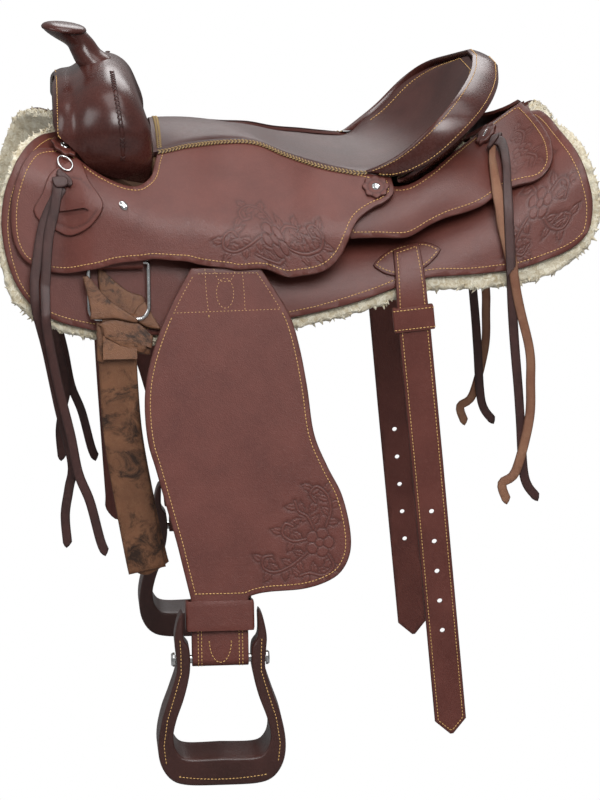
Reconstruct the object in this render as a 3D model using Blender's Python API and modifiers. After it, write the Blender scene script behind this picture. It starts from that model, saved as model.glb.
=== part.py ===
"""A western reining saddle, built from the pieces that a saddler would put together.

The horse faces -X, its left (near) side is -Y, and +Z is up. The origin is on the horse's spine
under the lowest part of the saddle. Lengths in the tables are millimetres and MM turns them into
metres. Every sheet of leather is first cut flat, then laid over the horse's side at its own lift,
which is its height above the hair.
"""

from math import atan2, cos, pi, radians, sin, tan

import bmesh
import bpy
from mathutils import Matrix, Vector

MM = 0.001
GAP = 0.3  # clearance between pieces that touch
CORNER = True  # marks a sharp corner in an outline
SIDES = {"left": -1, "right": 1}

# the horse's side: a slope off the spine, a round shoulder and a steep flank
TOP_LEAN = radians(24)
FLANK_LEAN = radians(78)
FLANK_Y = 150
FLANK_Z = -51.8
SHOULDER_RADIUS = 80
WITHERS_RISE, WITHERS_REACH = 97, 290
LOIN_RISE, LOIN_REACH = 85, 270
HANG_RADIUS = 60  # how gently a strap turns from the flank to hang straight down

# every bent sheet is flat between these lines, so that the sheets nest
ACROSS_LINES = [-360 + 40 * n for n in range(19)]
HORSE_LINES = [30, 62, 96, 112, 126, 139, 151, 163, 175, 187, 200, 236, 270]
JOCKEY_LINES = [0, 30, 60, 75, 90, 105, 120, 135, 150, 180, 230]

# thickness of each layer
SHEARLING_THICK = 14
SKIRT_THICK = 5
BAR_THICK = 15
BACK_JOCKEY_THICK = 4
SEAT_JOCKEY_THICK = 4.5
FENDER_THICK = 4.5
STIRRUP_LEATHER_THICK = 3.2
BILLET_THICK = 4
PATCH_THICK = 2.5
LATIGO_THICK = 3.4
HOLDER_THICK = 4
ROSETTE_THICK = 3.5
STRING_THICK = 2.8
KEEPER_THICK = 2.5
RIGGING_THICK = 3
HOBBLE_THICK = 2.5

# lift of each layer
SKIRT_LIFT = SHEARLING_THICK + 2.5 * GAP
ON_SKIRT = SKIRT_LIFT + SKIRT_THICK + 2 * GAP
TWIST_ROOM = 3.2  # more room for trim where the back jockey turns toward the spine
BAR_TOP = ON_SKIRT + BAR_THICK
STRAP_LIFT = BAR_TOP + 2 * GAP
FENDER_LIFT = STRAP_LIFT + STIRRUP_LEATHER_THICK + GAP
UNDER_JOCKEY = FENDER_LIFT + FENDER_THICK + GAP

# the seat's edge down which each seat jockey hangs: x, y, z, lean in degrees, lift at the flank
SEAT_JOCKEY_LINE = [
    (-360, 60, 122, 24, 24.3),
    (-290, 70, 92, 24, 26),
    (-265, 78, 86, 27, 35.5),
    (-240, 86, 82, 31, 39),
    (-184, 100, 71, 38, UNDER_JOCKEY),
    (-141, 86, 74, 36, UNDER_JOCKEY),
    (-95, 64, 73, 32, UNDER_JOCKEY),
    (-59, 64, 71, 32, UNDER_JOCKEY),
    (-25, 89, 61, 36, UNDER_JOCKEY),
    (9, 114, 54, 39, UNDER_JOCKEY),
    (38, 127, 49, 44, UNDER_JOCKEY),
    (68, 137, 45, 46, 42.5),
    (110, 143, 49, 46, 39),
]
SEAT_JOCKEY_FOLD = 60
# the same for the back jockeys, from under the cantle to the spine behind it
BACK_JOCKEY_LINE = [
    (30, 118, 42, 40, 26.5),
    (68, 131, 34, 44, 26.5),
    (110, 144, 30.5, 44, 25.5),
    (140, 140, 45, 38, 24),
    (170, 121, 63, 34, 22),
    (200, 84, 76, 28, 21),
    (228, 34, 83, 24, ON_SKIRT + 1),
    (260, 8, 99, 24, ON_SKIRT + 1),
    (330, 8, 145, 24, ON_SKIRT + 1),
]
BACK_JOCKEY_FOLD = 75

# flat outlines, as x and the distance down the side
SHEARLING = [
    (-300, 46, CORNER), (-322, 94), (-345, 137), (-362, 191), (-368, 250), (-358, 305),
    (-335, 321), (-300, 317), (-270, 308), (-181, 279), (-100, 251), (-22, 230), (68, 213),
    (136, 207), (200, 228), (270, 251), (316, 253), (338, 240), (346, 215), (343, 185),
    (333, 150), (322, 116), (308, 74), (300, 45), (292, 6, CORNER), (230, 12), (100, 32),
    (0, 38), (-150, 42),
]
SKIRT = [
    (-298, 75, CORNER), (-315, 102), (-332, 129), (-347, 158), (-357, 188), (-362, 220),
    (-362, 244), (-357, 270), (-347, 292), (-330, 305), (-310, 307), (-270, 297), (-181, 266),
    (-105, 240), (-27, 217), (68, 199), (135, 192), (206, 211), (240, 223), (270, 230),
    (300, 236), (319, 235), (329, 227), (333, 208), (332, 188), (326, 161), (316, 133),
    (305, 104), (296, 60), (288, 34), (278, 22, CORNER), (276, 6, CORNER), (230, 12),
    (100, 32), (0, 40), (-150, 46), (-290, 54, CORNER),
]
BAR = [
    (-256, 62), (-262, 92), (-245, 114), (-150, 116), (-60, 112), (20, 104), (100, 97),
    (190, 96), (212, 84), (206, 58), (150, 50), (20, 50), (-100, 50), (-210, 50),
]
SEAT_JOCKEY = [
    (-302, 56), (-322, 73), (-336, 98), (-346, 127), (-351, 157), (-350, 187), (-342, 205),
    (-329, 212), (-306, 210), (-280, 201), (-253, 188), (-226, 171), (-200, 158), (-181, 153),
    (-154, 163), (-135, 174), (-108, 188), (-81, 196), (-41, 186), (-14, 166), (7, 149),
    (20, 135), (31, 118), (40, 97), (48, 77), (57, 63), (71, 50), (85, 43), (96, 31),
    (94, 10, CORNER), (64, 2), (36, 2), (8, 2), (-25, 2), (-58, 2), (-95, 2), (-139, 2),
    (-176, 2, CORNER), (-184, 30), (-190, 66), (-212, 94), (-233, 98), (-252, 92),
    (-270, 76), (-280, 52), (-290, 46),
]
BACK_JOCKEY = [
    (226, 2, CORNER), (268, 2, CORNER), (276, 31), (284, 69), (289, 103), (289, 131),
    (286, 146), (277, 155), (263, 155), (240, 140), (216, 120), (152, 68), (103, 65),
    (62, 76), (44, 84, CORNER), (36, 60, CORNER), (44, 4, CORNER), (110, 2), (170, 2),
]
FENDER = [
    (-144, -54, CORNER), (-164, -88), (-184, -131), (-197, -173), (-201, -210), (-198, -251),
    (-189, -284), (-177, -329), (-167, -366), (-160, -396), (-152, -430, CORNER),
    (-150, -462, CORNER), (-86, -462, CORNER), (-84, -430, CORNER), (-73, -427),
    (-57, -425), (-21, -423), (6, -416), (25, -404), (36, -382), (36, -353), (27, -315),
    (11, -283), (-4, -245), (-11, -192), (-19, -147), (-29, -112), (-45, -83), (-64, -54, CORNER),
]
HOLDER = [
    (-280, 70), (-304, 96), (-315, 123), (-325, 147), (-315, 158), (-301, 159), (-283, 159),
    (-262, 144), (-246, 119), (-246, 106), (-260, 90), (-268, 66), (-274, 62),
]
HOLDER_SLOT = [(-296, 135), (-294, 139), (-264, 127), (-266, 122)]
PATCH = (112, 169, 80, 31)  # middle x, middle drop, length and height

# tree, swell and horn
FORK_FRONT, FORK_BACK = -294, -193
ARCH_OUT = [
    (108, 30), (136, 57), (151, 86), (152, 110), (138, 134), (109, 150), (68, 158), (30, 161), (0, 162),
]
ARCH_IN = [(86, 30), (88, 50), (90, 68), (88, 82), (81, 94), (66, 105), (46, 112), (20, 116), (0, 117)]
# how far back and how far out the swell's cross-section goes, from the gullet round to the gullet
SWELL_RING = [
    (0.02, 0.0), (-0.01, 0.25), (-0.02, 0.50), (0.06, 0.62), (0.20, 0.68), (0.36, 0.88),
    (0.62, 1.0), (0.88, 0.94), (1.03, 0.70), (1.03, 0.35), (0.92, 0.0),
]
COVER_THICK = 3
HORN_BASE = (-248, 166)
HORN_TOP = (-279, 195)
HORN_NECK = [(0.0, 27, 25), (0.25, 20, 20), (0.5, 16.5, 17), (0.75, 16.5, 17), (0.9, 20, 22), (1.0, 23, 26)]
HORN_POST_RADIUS = 7
HORN_CAP_RADIUS = 29
HORN_CAP_THICK = 10
HORN_CAP_TILT = radians(7)

# the seat, as edge x, half width, edge z, middle x and middle z, from the fork to the cantle's top
SEAT_ROWS = [
    (-182, 99, 71, -182, 94), (-141, 85, 76, -139, 90), (-95, 62, 75, -96, 84),
    (-59, 62, 73, -61, 75), (-25, 88, 63, -25, 61), (9, 113, 56, 12, 50), (38, 126, 51, 49, 43),
    (68, 134, 50, 84, 41), (90, 150, 63, 121, 48), (113, 158, 80, 151, 64),
    (143, 160, 109, 173, 91), (169, 135, 129, 187, 118), (193, 75, 147, 198, 143),
    (203, 22, 159, 204, 158),
]
SEAT_PAD_THICK = 10
PAD_CROWN = 5  # how much lower the pad's stitched edge is than its stuffing
GROUND_SEAT_THICK = 5
CANTLE_BOARD_THICK = 13
CANTLE_BACK_THICK = 4
CANTLE_FIRST_ROW = 8
# the roll's outer edge beside each seat row from CANTLE_FIRST_ROW - 1: x, half width, z
ROLL_EDGE = [
    (79, 139, 49), (104, 153, 47), (138, 163, 61), (169, 165, 85), (202, 150, 111),
    (226, 86, 131), (235, 24, 146),
]
ROLL_THICK, ROLL_ROOM = 8, 3.2
CANTLE_HEART = (175, 0, 85)  # the roll stands out from this point

# fender, stirrup leather and stirrup
FENDER_PIVOT = (-110, -66)
STRAP_X = -118
STRAP_WIDTH = 66
HANGER_WIDTH = 52
HANGER_TOP, HANGER_END = 98, 178
STRAP_TOP_Z = -112
BOLT_Z = -503
BOLT_RADIUS = 5
BOLT_HEAD_RADIUS = 8.5
BOLT_HEAD_THICK = 4
HOBBLE_TOP_Z, HOBBLE_END_Z = -433, -468
STIRRUP_HALF = [
    (0, -650), (40, -649), (60, -642), (72, -624), (75, -600), (70, -570), (60, -540),
    (52, -512), (53, -490), (54, -474), (51, -456), (47, -445), (45, -443), (43.5, -448),
    (43.5, -474), (37, -486), (36, -505), (38, -522), (44, -545), (53, -570), (57, -590),
    (53, -607), (40, -616, CORNER), (0, -616, CORNER),
]
STIRRUP_TOP_DEPTH, STIRRUP_TREAD_DEPTH = 28, 66
STIRRUP_TOP_Z, STIRRUP_TREAD_Z = -474, -650

# rigging
DEE_X = -228
DEE_TOP_Z = -46
DEE_WIDTH, DEE_HEIGHT, DEE_CORNER = 75, 70, 14
DEE_RADIUS = 2.6
DEE_SLACK = 0.9
RIGGING_TOP, RIGGING_WIDTH = 136, 58
LATIGO_WIDTH = 45
LATIGO_EDGE = 285  # where it leaves the flank and hangs
LATIGO_LINE = [(-231, 296), (-230, 330), (-226, 400), (-214, 480), (-203, 545), (-197, 576)]
LATIGO_KNOT = [
    (-268, 293), (-272, 302), (-268, 312), (-260, 327), (-236, 322), (-210, 310), (-194, 288),
    (-190, 270), (-194, 260), (-210, 266), (-230, 275), (-250, 285),
]
LATIGO_KNOT_THICK = 14.4
OFF_BILLET_LINE = [(-228, 296), (-225, 400), (-214, 600)]
OFF_BILLET_HOLES, OFF_BILLET_HOLE_STEP = 7, 32

# flank billet
BILLET_TOP = (111, 158)
BILLET_TIP = (168, 743)
BILLET_WIDTH = 38
BILLET_POINT = 34
BILLET_HOLES, BILLET_HOLE_STEP, BILLET_FIRST_HOLE = 5, 37.5, 463
HOLE_RADIUS = 3.1
BILLET_EDGE, BILLET_KINK = 200, 412  # where it leaves the flank, and where it hangs quite straight
KINK_LEAN = radians(88)
KEEPER_DROP, KEEPER_LENGTH, KEEPER_SIDE = 228, 29, 3

# rosettes, screws and strings
ROSETTE_RADIUS = 16
SCREW_RADIUS, SCREW_DOME = 5.2, 2.6
FRONT_ROSETTE = (-287, 52)
SEAT_ROSETTE = (75, 24)
JOCKEY_SCREW = (-221, 103)
REAR_ROSETTE = (217, 18)
RING_RADIUS, RING_WIRE = 8.5, 1.2
STRING_WIDTH = 11
STRING_EDGE = 232
FRONT_STRING = [
    (-296, 106), (-301, 136), (-308, 169), (-312, 214), (-313, 245), (-306, 291), (-297, 336),
    (-287, 381), (-279, 426), (-266, 461), (-255, 507), (-250, 521),
]
FRONT_STRING_BACK = [
    (-292, 106), (-313, 157), (-323, 212), (-325, 241), (-313, 294), (-300, 363), (-286, 430),
    (-290, 461), (-295, 493), (-293, 527),
]
REAR_STRING = [
    (228, 48), (234, 66), (234, 98), (231, 135), (231, 167), (232, 204), (234, 279), (238, 340),
    (244, 403), (247, 440), (253, 511), (267, 536),
]
REAR_STRING_BACK = [
    (223, 50), (218, 74), (218, 109), (221, 136), (224, 163), (241, 259), (256, 322), (258, 362),
    (257, 409), (242, 471), (226, 486), (231, 505),
]

SADDLE = "reining_saddle"
CUTTERS = "cutters"


def empty_scene():
    for thing in list(bpy.data.objects):
        bpy.data.objects.remove(thing, do_unlink=True)
    for name in (SADDLE, CUTTERS):
        if name not in bpy.data.collections:
            bpy.context.scene.collection.children.link(bpy.data.collections.new(name))


def finish(name, colour, roughness, metallic=0.0):
    material = bpy.data.materials.new(name)
    material.use_nodes = True
    shader = material.node_tree.nodes["Principled BSDF"]
    shader.inputs["Base Color"].default_value = (*colour, 1)
    shader.inputs["Roughness"].default_value = roughness
    shader.inputs["Metallic"].default_value = metallic
    material.diffuse_color = (*colour, 1)
    return material


# smooth lines and paths


def along(table, x):
    """The row of a table at x, on a smooth curve through its rows."""
    last = len(table) - 1
    i = max(0, min(last - 1, sum(row[0] <= x for row in table) - 1))
    a, b = table[i], table[i + 1]
    before, after = table[max(i - 1, 0)], table[min(i + 2, last)]
    step = b[0] - a[0]
    t = min(max((x - a[0]) / step, 0), 1)
    values = []
    for k in range(1, len(a)):
        slope_a = (b[k] - before[k]) / (b[0] - before[0]) * step
        slope_b = (after[k] - a[k]) / (after[0] - a[0]) * step
        values.append(
            (2 * t**3 - 3 * t**2 + 1) * a[k] + (t**3 - 2 * t**2 + t) * slope_a
            + (3 * t**2 - 2 * t**3) * b[k] + (t**3 - t**2) * slope_b
        )
    return values


def smooth_line(points, steps):
    """Points on a Catmull-Rom curve through the given ones."""
    found = []
    for i in range(len(points) - 1):
        ring = [Vector(points[max(0, min(len(points) - 1, i + k))]) for k in (-1, 0, 1, 2)]
        p0, p1, p2, p3 = ring
        for n in range(steps):
            t = n / steps
            found.append(
                0.5 * (2 * p1 + (p2 - p0) * t + (2 * p0 - 5 * p1 + 4 * p2 - p3) * t**2
                       + (3 * p1 - p0 - 3 * p2 + p3) * t**3)
            )
    return found + [Vector(points[-1])]


def spine(x):
    rise, reach = (WITHERS_RISE, WITHERS_REACH) if x < 0 else (LOIN_RISE, LOIN_REACH)
    return rise * (x / reach) ** 2


def flank(lift, z):
    """How far out the flank's plane is, at a height and a lift."""
    return FLANK_Y + lift / sin(FLANK_LEAN) + (FLANK_Z - z) / tan(FLANK_LEAN)


def walk(start, lean, runs, distance, lift):
    """The point at a distance down a path of straight runs and bends, and a lift off it."""
    y, z = start
    for number, (length, turn) in enumerate(runs):
        step = distance if number == len(runs) - 1 else min(distance, length)
        if turn:
            radius = length / turn
            end = lean + step / radius
            y += radius * (sin(end) - sin(lean))
            z += radius * (cos(end) - cos(lean))
            lean = end
        else:
            y += step * cos(lean)
            z -= step * sin(lean)
        distance -= step
        if distance <= 0:
            break
    return y + lift * sin(lean), z + lift * cos(lean)


def side_path(start, lean, lift, radius, edge, kink=None):
    """Runs from a start, round the shoulder, down the flank and, past an edge, straight down."""
    y, z = start
    gap = flank(lift, z) - y
    length = gap / (cos(lean) - sin(lean) / tan(FLANK_LEAN))
    bend = FLANK_LEAN - lean
    straight = length - radius * tan(bend / 2)
    runs = [(straight, 0), (radius * bend, bend)]
    if edge:
        turn = (KINK_LEAN if kink else pi / 2) - FLANK_LEAN
        runs += [(edge - straight - radius * bend, 0), (HANG_RADIUS * turn, turn)]
    if kink:
        rest = pi / 2 - KINK_LEAN
        runs += [(kink - edge - HANG_RADIUS * turn, 0), (HANG_RADIUS * rest, rest)]
    return runs + [(1000, 0)]


def on_horse(edge=None, hang_x=0, kink=None):
    """Lays x, distance from the spine and lift over the horse's side, flat past any edge."""

    def place(x, distance, lift):
        start = (0, spine(hang_x if edge and distance >= edge else x))
        runs = side_path(start, TOP_LEAN, 0, SHOULDER_RADIUS, edge, kink)
        return (x, *walk(start, TOP_LEAN, runs, distance, lift))

    return place


def on_line(table, fold, edge=None, hang_x=0):
    """Lays x, distance from a table's line and lift down the side, flat past any edge."""

    def place(x, distance, lift):
        y, z, lean, out = along(table, hang_x if edge and distance >= edge else x)
        runs = side_path((y, z), radians(lean), out, fold, edge)
        return (x, *walk((y, z), radians(lean), runs, distance, lift))

    return place


def to_level(x, z):
    """The distance from the spine to a height on the flank."""
    runs = side_path((0, spine(x)), TOP_LEAN, 0, SHOULDER_RADIUS, None)
    start = sum(run[0] for run in runs[:2])
    foot = walk((0, spine(x)), TOP_LEAN, runs, start, 0)[1]
    return start + (foot - z) / sin(FLANK_LEAN)


def on_flank(level):
    """Lays a flat sheet beside the flank, with its heights given as z at one lift."""

    def place(x, z, lift):
        out = lift - level
        return x, flank(level, z) + out * sin(FLANK_LEAN), z + out * cos(FLANK_LEAN)

    return place


def in_cells(place, down):
    """The same surface, flat between the lines across it and down it."""

    def flat(x, distance, lift):
        i = max(1, min(len(ACROSS_LINES) - 1, sum(line <= x for line in ACROSS_LINES)))
        j = max(1, min(len(down) - 1, sum(line <= distance for line in down)))
        x0, x1 = ACROSS_LINES[i - 1], ACROSS_LINES[i]
        d0, d1 = down[j - 1], down[j]
        t, u = (x - x0) / (x1 - x0), (distance - d0) / (d1 - d0)
        near = Vector(place(x0, d0, lift)).lerp(Vector(place(x0, d1, lift)), u)
        far = Vector(place(x1, d0, lift)).lerp(Vector(place(x1, d1, lift)), u)
        return near.lerp(far, t)

    flat.down = down
    return flat


def hanging(edge, kink=None):
    """The grid lines of a strap that leaves the flank at an edge."""
    turn = HANG_RADIUS * ((KINK_LEAN if kink else pi / 2) - FLANK_LEAN)
    above = [line for line in HORSE_LINES if line < edge - 2]
    lines = above + [edge, edge + turn / 3, edge + turn * 2 / 3, edge + turn]
    if kink:
        lines += [kink, kink + HANG_RADIUS * (pi / 2 - KINK_LEAN)]
    return lines + [lines[-1] + 300]


HORSE = in_cells(on_horse(), HORSE_LINES)
SEAT_JOCKEY_SIDE = in_cells(on_line(SEAT_JOCKEY_LINE, SEAT_JOCKEY_FOLD), JOCKEY_LINES)
BACK_JOCKEY_SIDE = in_cells(on_line(BACK_JOCKEY_LINE, BACK_JOCKEY_FOLD), JOCKEY_LINES)


# making meshes


def face_out(bm):
    """Turns a closed body's faces outward."""
    if all(edge.is_manifold for edge in bm.edges):
        bmesh.ops.recalc_face_normals(bm, faces=bm.faces)
        if bm.calc_volume(signed=True) < 0:
            bmesh.ops.reverse_faces(bm, faces=bm.faces)


def keep(name, bm, material, pivot=None):
    """Turns a bmesh in millimetres into an object, with its origin on its pivot's empty."""
    face_out(bm)
    at = Vector(pivot.matrix_world.translation) if pivot else Vector()
    for vert in bm.verts:
        vert.co = vert.co * MM - at
    mesh = bpy.data.meshes.new(name)
    bm.to_mesh(mesh)
    bm.free()
    mesh.materials.append(material)
    thing = bpy.data.objects.new(name, mesh)
    bpy.data.collections[SADDLE].objects.link(thing)
    if pivot:
        thing.parent = pivot
    return thing


def pivot_at(name, point, parent=None):
    """An empty on a joint's axis, at a point in millimetres."""
    empty = bpy.data.objects.new(name, None)
    bpy.data.collections[SADDLE].objects.link(empty)
    empty.empty_display_size = 0.02
    at = Vector(point) * MM
    if parent:
        empty.parent = parent
        at -= parent.matrix_world.translation
    empty.location = at
    bpy.context.view_layer.update()
    return empty


def plate(outline, thickness, holes=(), resolution=2, sharp=False):
    """A flat plate with a smooth outline and holes, from z 0 up to its thickness."""
    curve = bpy.data.curves.new("outline", "CURVE")
    curve.dimensions, curve.fill_mode = "2D", "BOTH"
    curve.resolution_u = resolution
    curve.extrude = thickness / 2
    for points in (outline, *holes):
        spline = curve.splines.new("BEZIER")
        spline.bezier_points.add(len(points) - 1)
        spline.use_cyclic_u = True
        for knot, point in zip(spline.bezier_points, points):
            knot.co = (point[0], point[1], 0)
            kind = "VECTOR" if sharp or len(point) > 2 else "AUTO"
            knot.handle_left_type = knot.handle_right_type = kind
    thing = bpy.data.objects.new("outline", curve)
    bpy.context.scene.collection.objects.link(thing)
    seen = bpy.context.evaluated_depsgraph_get()
    mesh = bpy.data.meshes.new_from_object(thing.evaluated_get(seen))
    bm = bmesh.new()
    bm.from_mesh(mesh)
    bpy.data.objects.remove(thing)
    bpy.data.curves.remove(curve)
    bpy.data.meshes.remove(mesh)
    bmesh.ops.remove_doubles(bm, verts=bm.verts, dist=0.001)
    bmesh.ops.dissolve_limit(bm, angle_limit=radians(1), verts=bm.verts, edges=bm.edges)
    bmesh.ops.translate(bm, verts=bm.verts, vec=(0, 0, thickness / 2))
    return bm


def lay(bm, place, side, lift=0):
    """Cuts a plate along its surface's lines and moves it to its place on one side."""
    down = getattr(place, "down", ())
    across = ACROSS_LINES if down else ()
    for lines, normal in ((across, Vector((1, 0, 0))), (down, Vector((0, 1, 0)))):
        for line in lines:
            bmesh.ops.bisect_plane(
                bm, geom=bm.verts[:] + bm.edges[:] + bm.faces[:], dist=0.0001,
                plane_co=normal * line, plane_no=normal,
            )
    bmesh.ops.triangulate(bm, faces=bm.faces)
    for vert in bm.verts:
        x, y, z = place(vert.co.x, vert.co.y, vert.co.z + lift)
        vert.co = x, side * y, z
    return bm


def circle(middle, radius, count=6):
    """Points of a round hole's outline."""
    return [
        (middle[0] + radius * cos(2 * pi * n / count), middle[1] + radius * sin(2 * pi * n / count))
        for n in range(count)
    ]


def rectangle(low, high):
    return [(low[0], low[1]), (high[0], low[1]), (high[0], high[1]), (low[0], high[1])]


def strip(line, width, steps=2):
    """The outline of a strap along a curved line, with a slanted end."""
    middle = smooth_line(line, steps)
    left, right = [], []
    for n, point in enumerate(middle):
        ahead = middle[min(n + 1, len(middle) - 1)] - middle[max(n - 1, 0)]
        normal = Vector((-ahead.y, ahead.x)).normalized() * width / 2
        left.append(tuple(point + normal))
        right.append(tuple(point - normal))
    tip = middle[-1] + (middle[-1] - middle[-2]).normalized() * width * 0.8
    return left + [(left[-1][0] * 0.3 + tip.x * 0.7, left[-1][1] * 0.3 + tip.y * 0.7)] + right[::-1]


def loft(rings, closed_ring=True, caps=True):
    """A skin through rings of points, closed on itself where the first ring comes again."""
    bm = bmesh.new()
    closed = rings[0] is rings[-1]
    rows = [[bm.verts.new(point) for point in ring] for ring in rings[:len(rings) - closed]]
    if closed:
        rows.append(rows[0])
    count = len(rows[0])
    for upper, lower in zip(rows, rows[1:]):
        for n in range(count if closed_ring else count - 1):
            m = (n + 1) % count
            bm.faces.new((upper[n], upper[m], lower[m], lower[n]))
    if caps:
        bm.faces.new(rows[0])
        bm.faces.new(rows[-1])
    return bm


def thicken(thing, thickness, offset=-1.0):
    """Gives an open skin its thickness, below the skin for an offset of -1."""
    solid = thing.modifiers.new("thickness", "SOLIDIFY")
    solid.thickness = thickness * MM
    solid.offset = offset
    solid.use_even_offset = False
    return solid


def sunk(bm, depth):
    """Moves a skin along its normals."""
    bm.normal_update()
    normals = [vert.normal.copy() for vert in bm.verts]
    for vert, normal in zip(bm.verts, normals):
        vert.co -= normal * depth
    return bm


def cutter(name, bm):
    """Keeps a bmesh as a hidden cutting tool."""
    face_out(bm)
    for vert in bm.verts:
        vert.co *= MM
    mesh = bpy.data.meshes.new(name)
    bm.to_mesh(mesh)
    bm.free()
    thing = bpy.data.objects.new(name, mesh)
    bpy.data.collections[CUTTERS].objects.link(thing)
    thing.hide_render = True
    thing.display_type = "WIRE"
    return thing


def combine(thing, tool, operation):
    change = thing.modifiers.new(operation.lower(), "BOOLEAN")
    change.operation = operation
    change.object = tool
    return change


def rod(start, end, radius, sides=16):
    """A cylinder between two points."""
    bm = bmesh.new()
    start, end = Vector(start), Vector(end)
    turn = (end - start).to_track_quat("Z", "Y").to_matrix().to_4x4()
    bmesh.ops.create_cone(
        bm, cap_ends=True, segments=sides, radius1=radius, radius2=radius,
        depth=(end - start).length, matrix=Matrix.Translation((start + end) / 2) @ turn,
    )
    return bm


# the layers next to the horse


def side_leathers(name, side, hide, wool, wood):
    keep(f"shearling_{name}", lay(plate(SHEARLING, SHEARLING_THICK), HORSE, side), wool)
    keep(f"skirt_{name}", lay(plate(SKIRT, SKIRT_THICK), HORSE, side, SKIRT_LIFT), hide)
    keep(f"tree_bar_{name}", lay(plate(BAR, BAR_THICK), HORSE, side, ON_SKIRT), wood)
    middle_x, middle, long, high = PATCH
    patch = [
        (middle_x + long / 2 * cos(a) * (1 - 0.12 * abs(sin(2 * a))), middle + high / 2 * sin(a))
        for a in (n * pi / 8 for n in range(16))
    ]
    keep(f"billet_patch_{name}", lay(plate(patch, PATCH_THICK), HORSE, side, ON_SKIRT), hide)


def jockeys(name, side, hide):
    bm = lay(plate(SEAT_JOCKEY, SEAT_JOCKEY_THICK), SEAT_JOCKEY_SIDE, side)
    keep(f"seat_jockey_{name}", bm, hide)
    bm = lay(plate(BACK_JOCKEY, BACK_JOCKEY_THICK), BACK_JOCKEY_SIDE, side)
    keep(f"back_jockey_{name}", bm, hide)


# tree, swell and horn


def arch_ring(station, grow=0.0):
    """One cross-section of the fork, at a station on its arch."""
    count = len(ARCH_OUT) - 1
    sign = -1 if station < count else 1
    index = station if station < count else 2 * count - station
    out, inner = ARCH_OUT[index], ARCH_IN[index]
    ring = []
    for back, outward in SWELL_RING:
        y = inner[0] + (out[0] - inner[0]) * outward
        z = inner[1] + (out[1] - inner[1]) * outward
        ring.append((FORK_FRONT + (FORK_BACK - FORK_FRONT) * back, sign * y, z))
    return ring


def fork_and_swell(wood, hide):
    stations = range(2 * len(ARCH_OUT) - 1)
    bm = loft([arch_ring(station) for station in stations])
    fork = keep("fork", bm, wood)
    bm = loft([arch_ring(station) for station in stations], closed_ring=False, caps=False)
    bmesh.ops.recalc_face_normals(bm, faces=bm.faces)
    if sum(face.normal.z * face.calc_area() for face in bm.faces) < 0:
        bmesh.ops.reverse_faces(bm, faces=bm.faces)
    sunk(bm, -3 * GAP)
    cover = keep("swell_cover", bm, hide)
    thicken(cover, COVER_THICK, 1.0)
    combine(fork, above_bars("fork_bed", (-320, -170), rosette_room), "DIFFERENCE")
    combine(cover, bpy.data.objects["fork_bed"], "DIFFERENCE")
    return cover


def rosette_room(x):
    """How much higher the fork's front foot stands, to clear the rosettes before it."""
    return 12.5 * min(max((-255 - x) / 20, 0), 1)


def above_bars(name, reach, more=None):
    """A cutting tool as high as the bars, all the way over the horse between two x."""
    grid = []
    for x in [reach[0] + (reach[1] - reach[0]) * n / 12 for n in range(13)]:
        lift = BAR_TOP + 1.2 + (more(x) if more else 0)
        half = [on_horse()(x, distance, lift) for distance in (2, 60, 96, 112, 126, 140)]
        top = [(x, -y, z) for _, y, z in reversed(half)] + half
        grid.append(top + [(x, half[-1][1], -60), (x, -half[-1][1], -60)])
    return cutter(name, loft(grid))


def horn(cover, steel, hide):
    base = Vector((HORN_BASE[0], 0, HORN_BASE[1]))
    top = Vector((HORN_TOP[0], 0, HORN_TOP[1]))
    lean = atan2(top.x - base.x, top.z - base.z)
    rings = []
    for share, long, wide in HORN_NECK:
        middle = base.lerp(top, share)
        tilt = lean * 0.7 * sin(pi * share) + HORN_CAP_TILT * share
        rings.append([
            middle + Vector((long * cos(a) * cos(tilt), wide * sin(a), -long * cos(a) * sin(tilt)))
            for a in (2 * pi * n / 16 for n in range(16))
        ])
    neck = keep("horn_neck_cover", loft(rings), hide)
    foot = base - (top - base).normalized() * 4
    post = keep("horn_post", rod(foot, top - (top - base).normalized() * 6, HORN_POST_RADIUS), steel)
    reach = (top - base).normalized() * 40
    hole = cutter("horn_post_hole", rod(base - reach, top + reach, HORN_POST_RADIUS + GAP))
    combine(neck, hole, "DIFFERENCE")
    combine(cover, hole, "DIFFERENCE")
    profile = [(0, HORN_CAP_THICK), (0.45, HORN_CAP_THICK * 0.97), (0.8, HORN_CAP_THICK * 0.82),
               (0.96, HORN_CAP_THICK * 0.55), (1.0, HORN_CAP_THICK * 0.3), (0.95, 0.8), (0.8, 0), (0, 0)]
    bm = bmesh.new()
    verts = [bm.verts.new((r * HORN_CAP_RADIUS, 0, z)) for r, z in profile]
    for a, b in zip(verts, verts[1:]):
        bm.edges.new((a, b))
    bmesh.ops.spin(
        bm, geom=bm.verts[:] + bm.edges[:], cent=(0, 0, 0), axis=(0, 0, 1), angle=2 * pi,
        steps=24, use_merge=True,
    )
    bmesh.ops.remove_doubles(bm, verts=bm.verts, dist=0.01)
    tilt = Matrix.Rotation(HORN_CAP_TILT, 4, "Y")
    for vert in bm.verts:
        vert.co.x *= 0.94
        vert.co = tilt @ vert.co + Vector((HORN_TOP[0] - 6, 0, HORN_TOP[1] + GAP + 2.9))
    keep("horn_cap", bm, hide)
    return post


# seat and cantle


def seat_skin(first, last, shares, steps=2, drop=0.0, edge_in=0.0):
    """The seat's top skin between two rows, as rows of points."""
    rows = smooth_line([row[:3] for row in SEAT_ROWS], steps)
    middles = smooth_line([(row[3], 0, row[4]) for row in SEAT_ROWS], steps)
    grid = []
    for n in range(first * steps, last * steps + 1):
        edge_x, half, edge_z = rows[n]
        middle = middles[n]
        line = []
        for share in shares:
            weight = abs(share) ** 2.2
            line.append((
                middle.x + (edge_x - middle.x) * weight,
                (half - edge_in) * share,
                middle.z + (edge_z - middle.z) * weight - drop,
            ))
        grid.append(line)
    return grid


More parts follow.
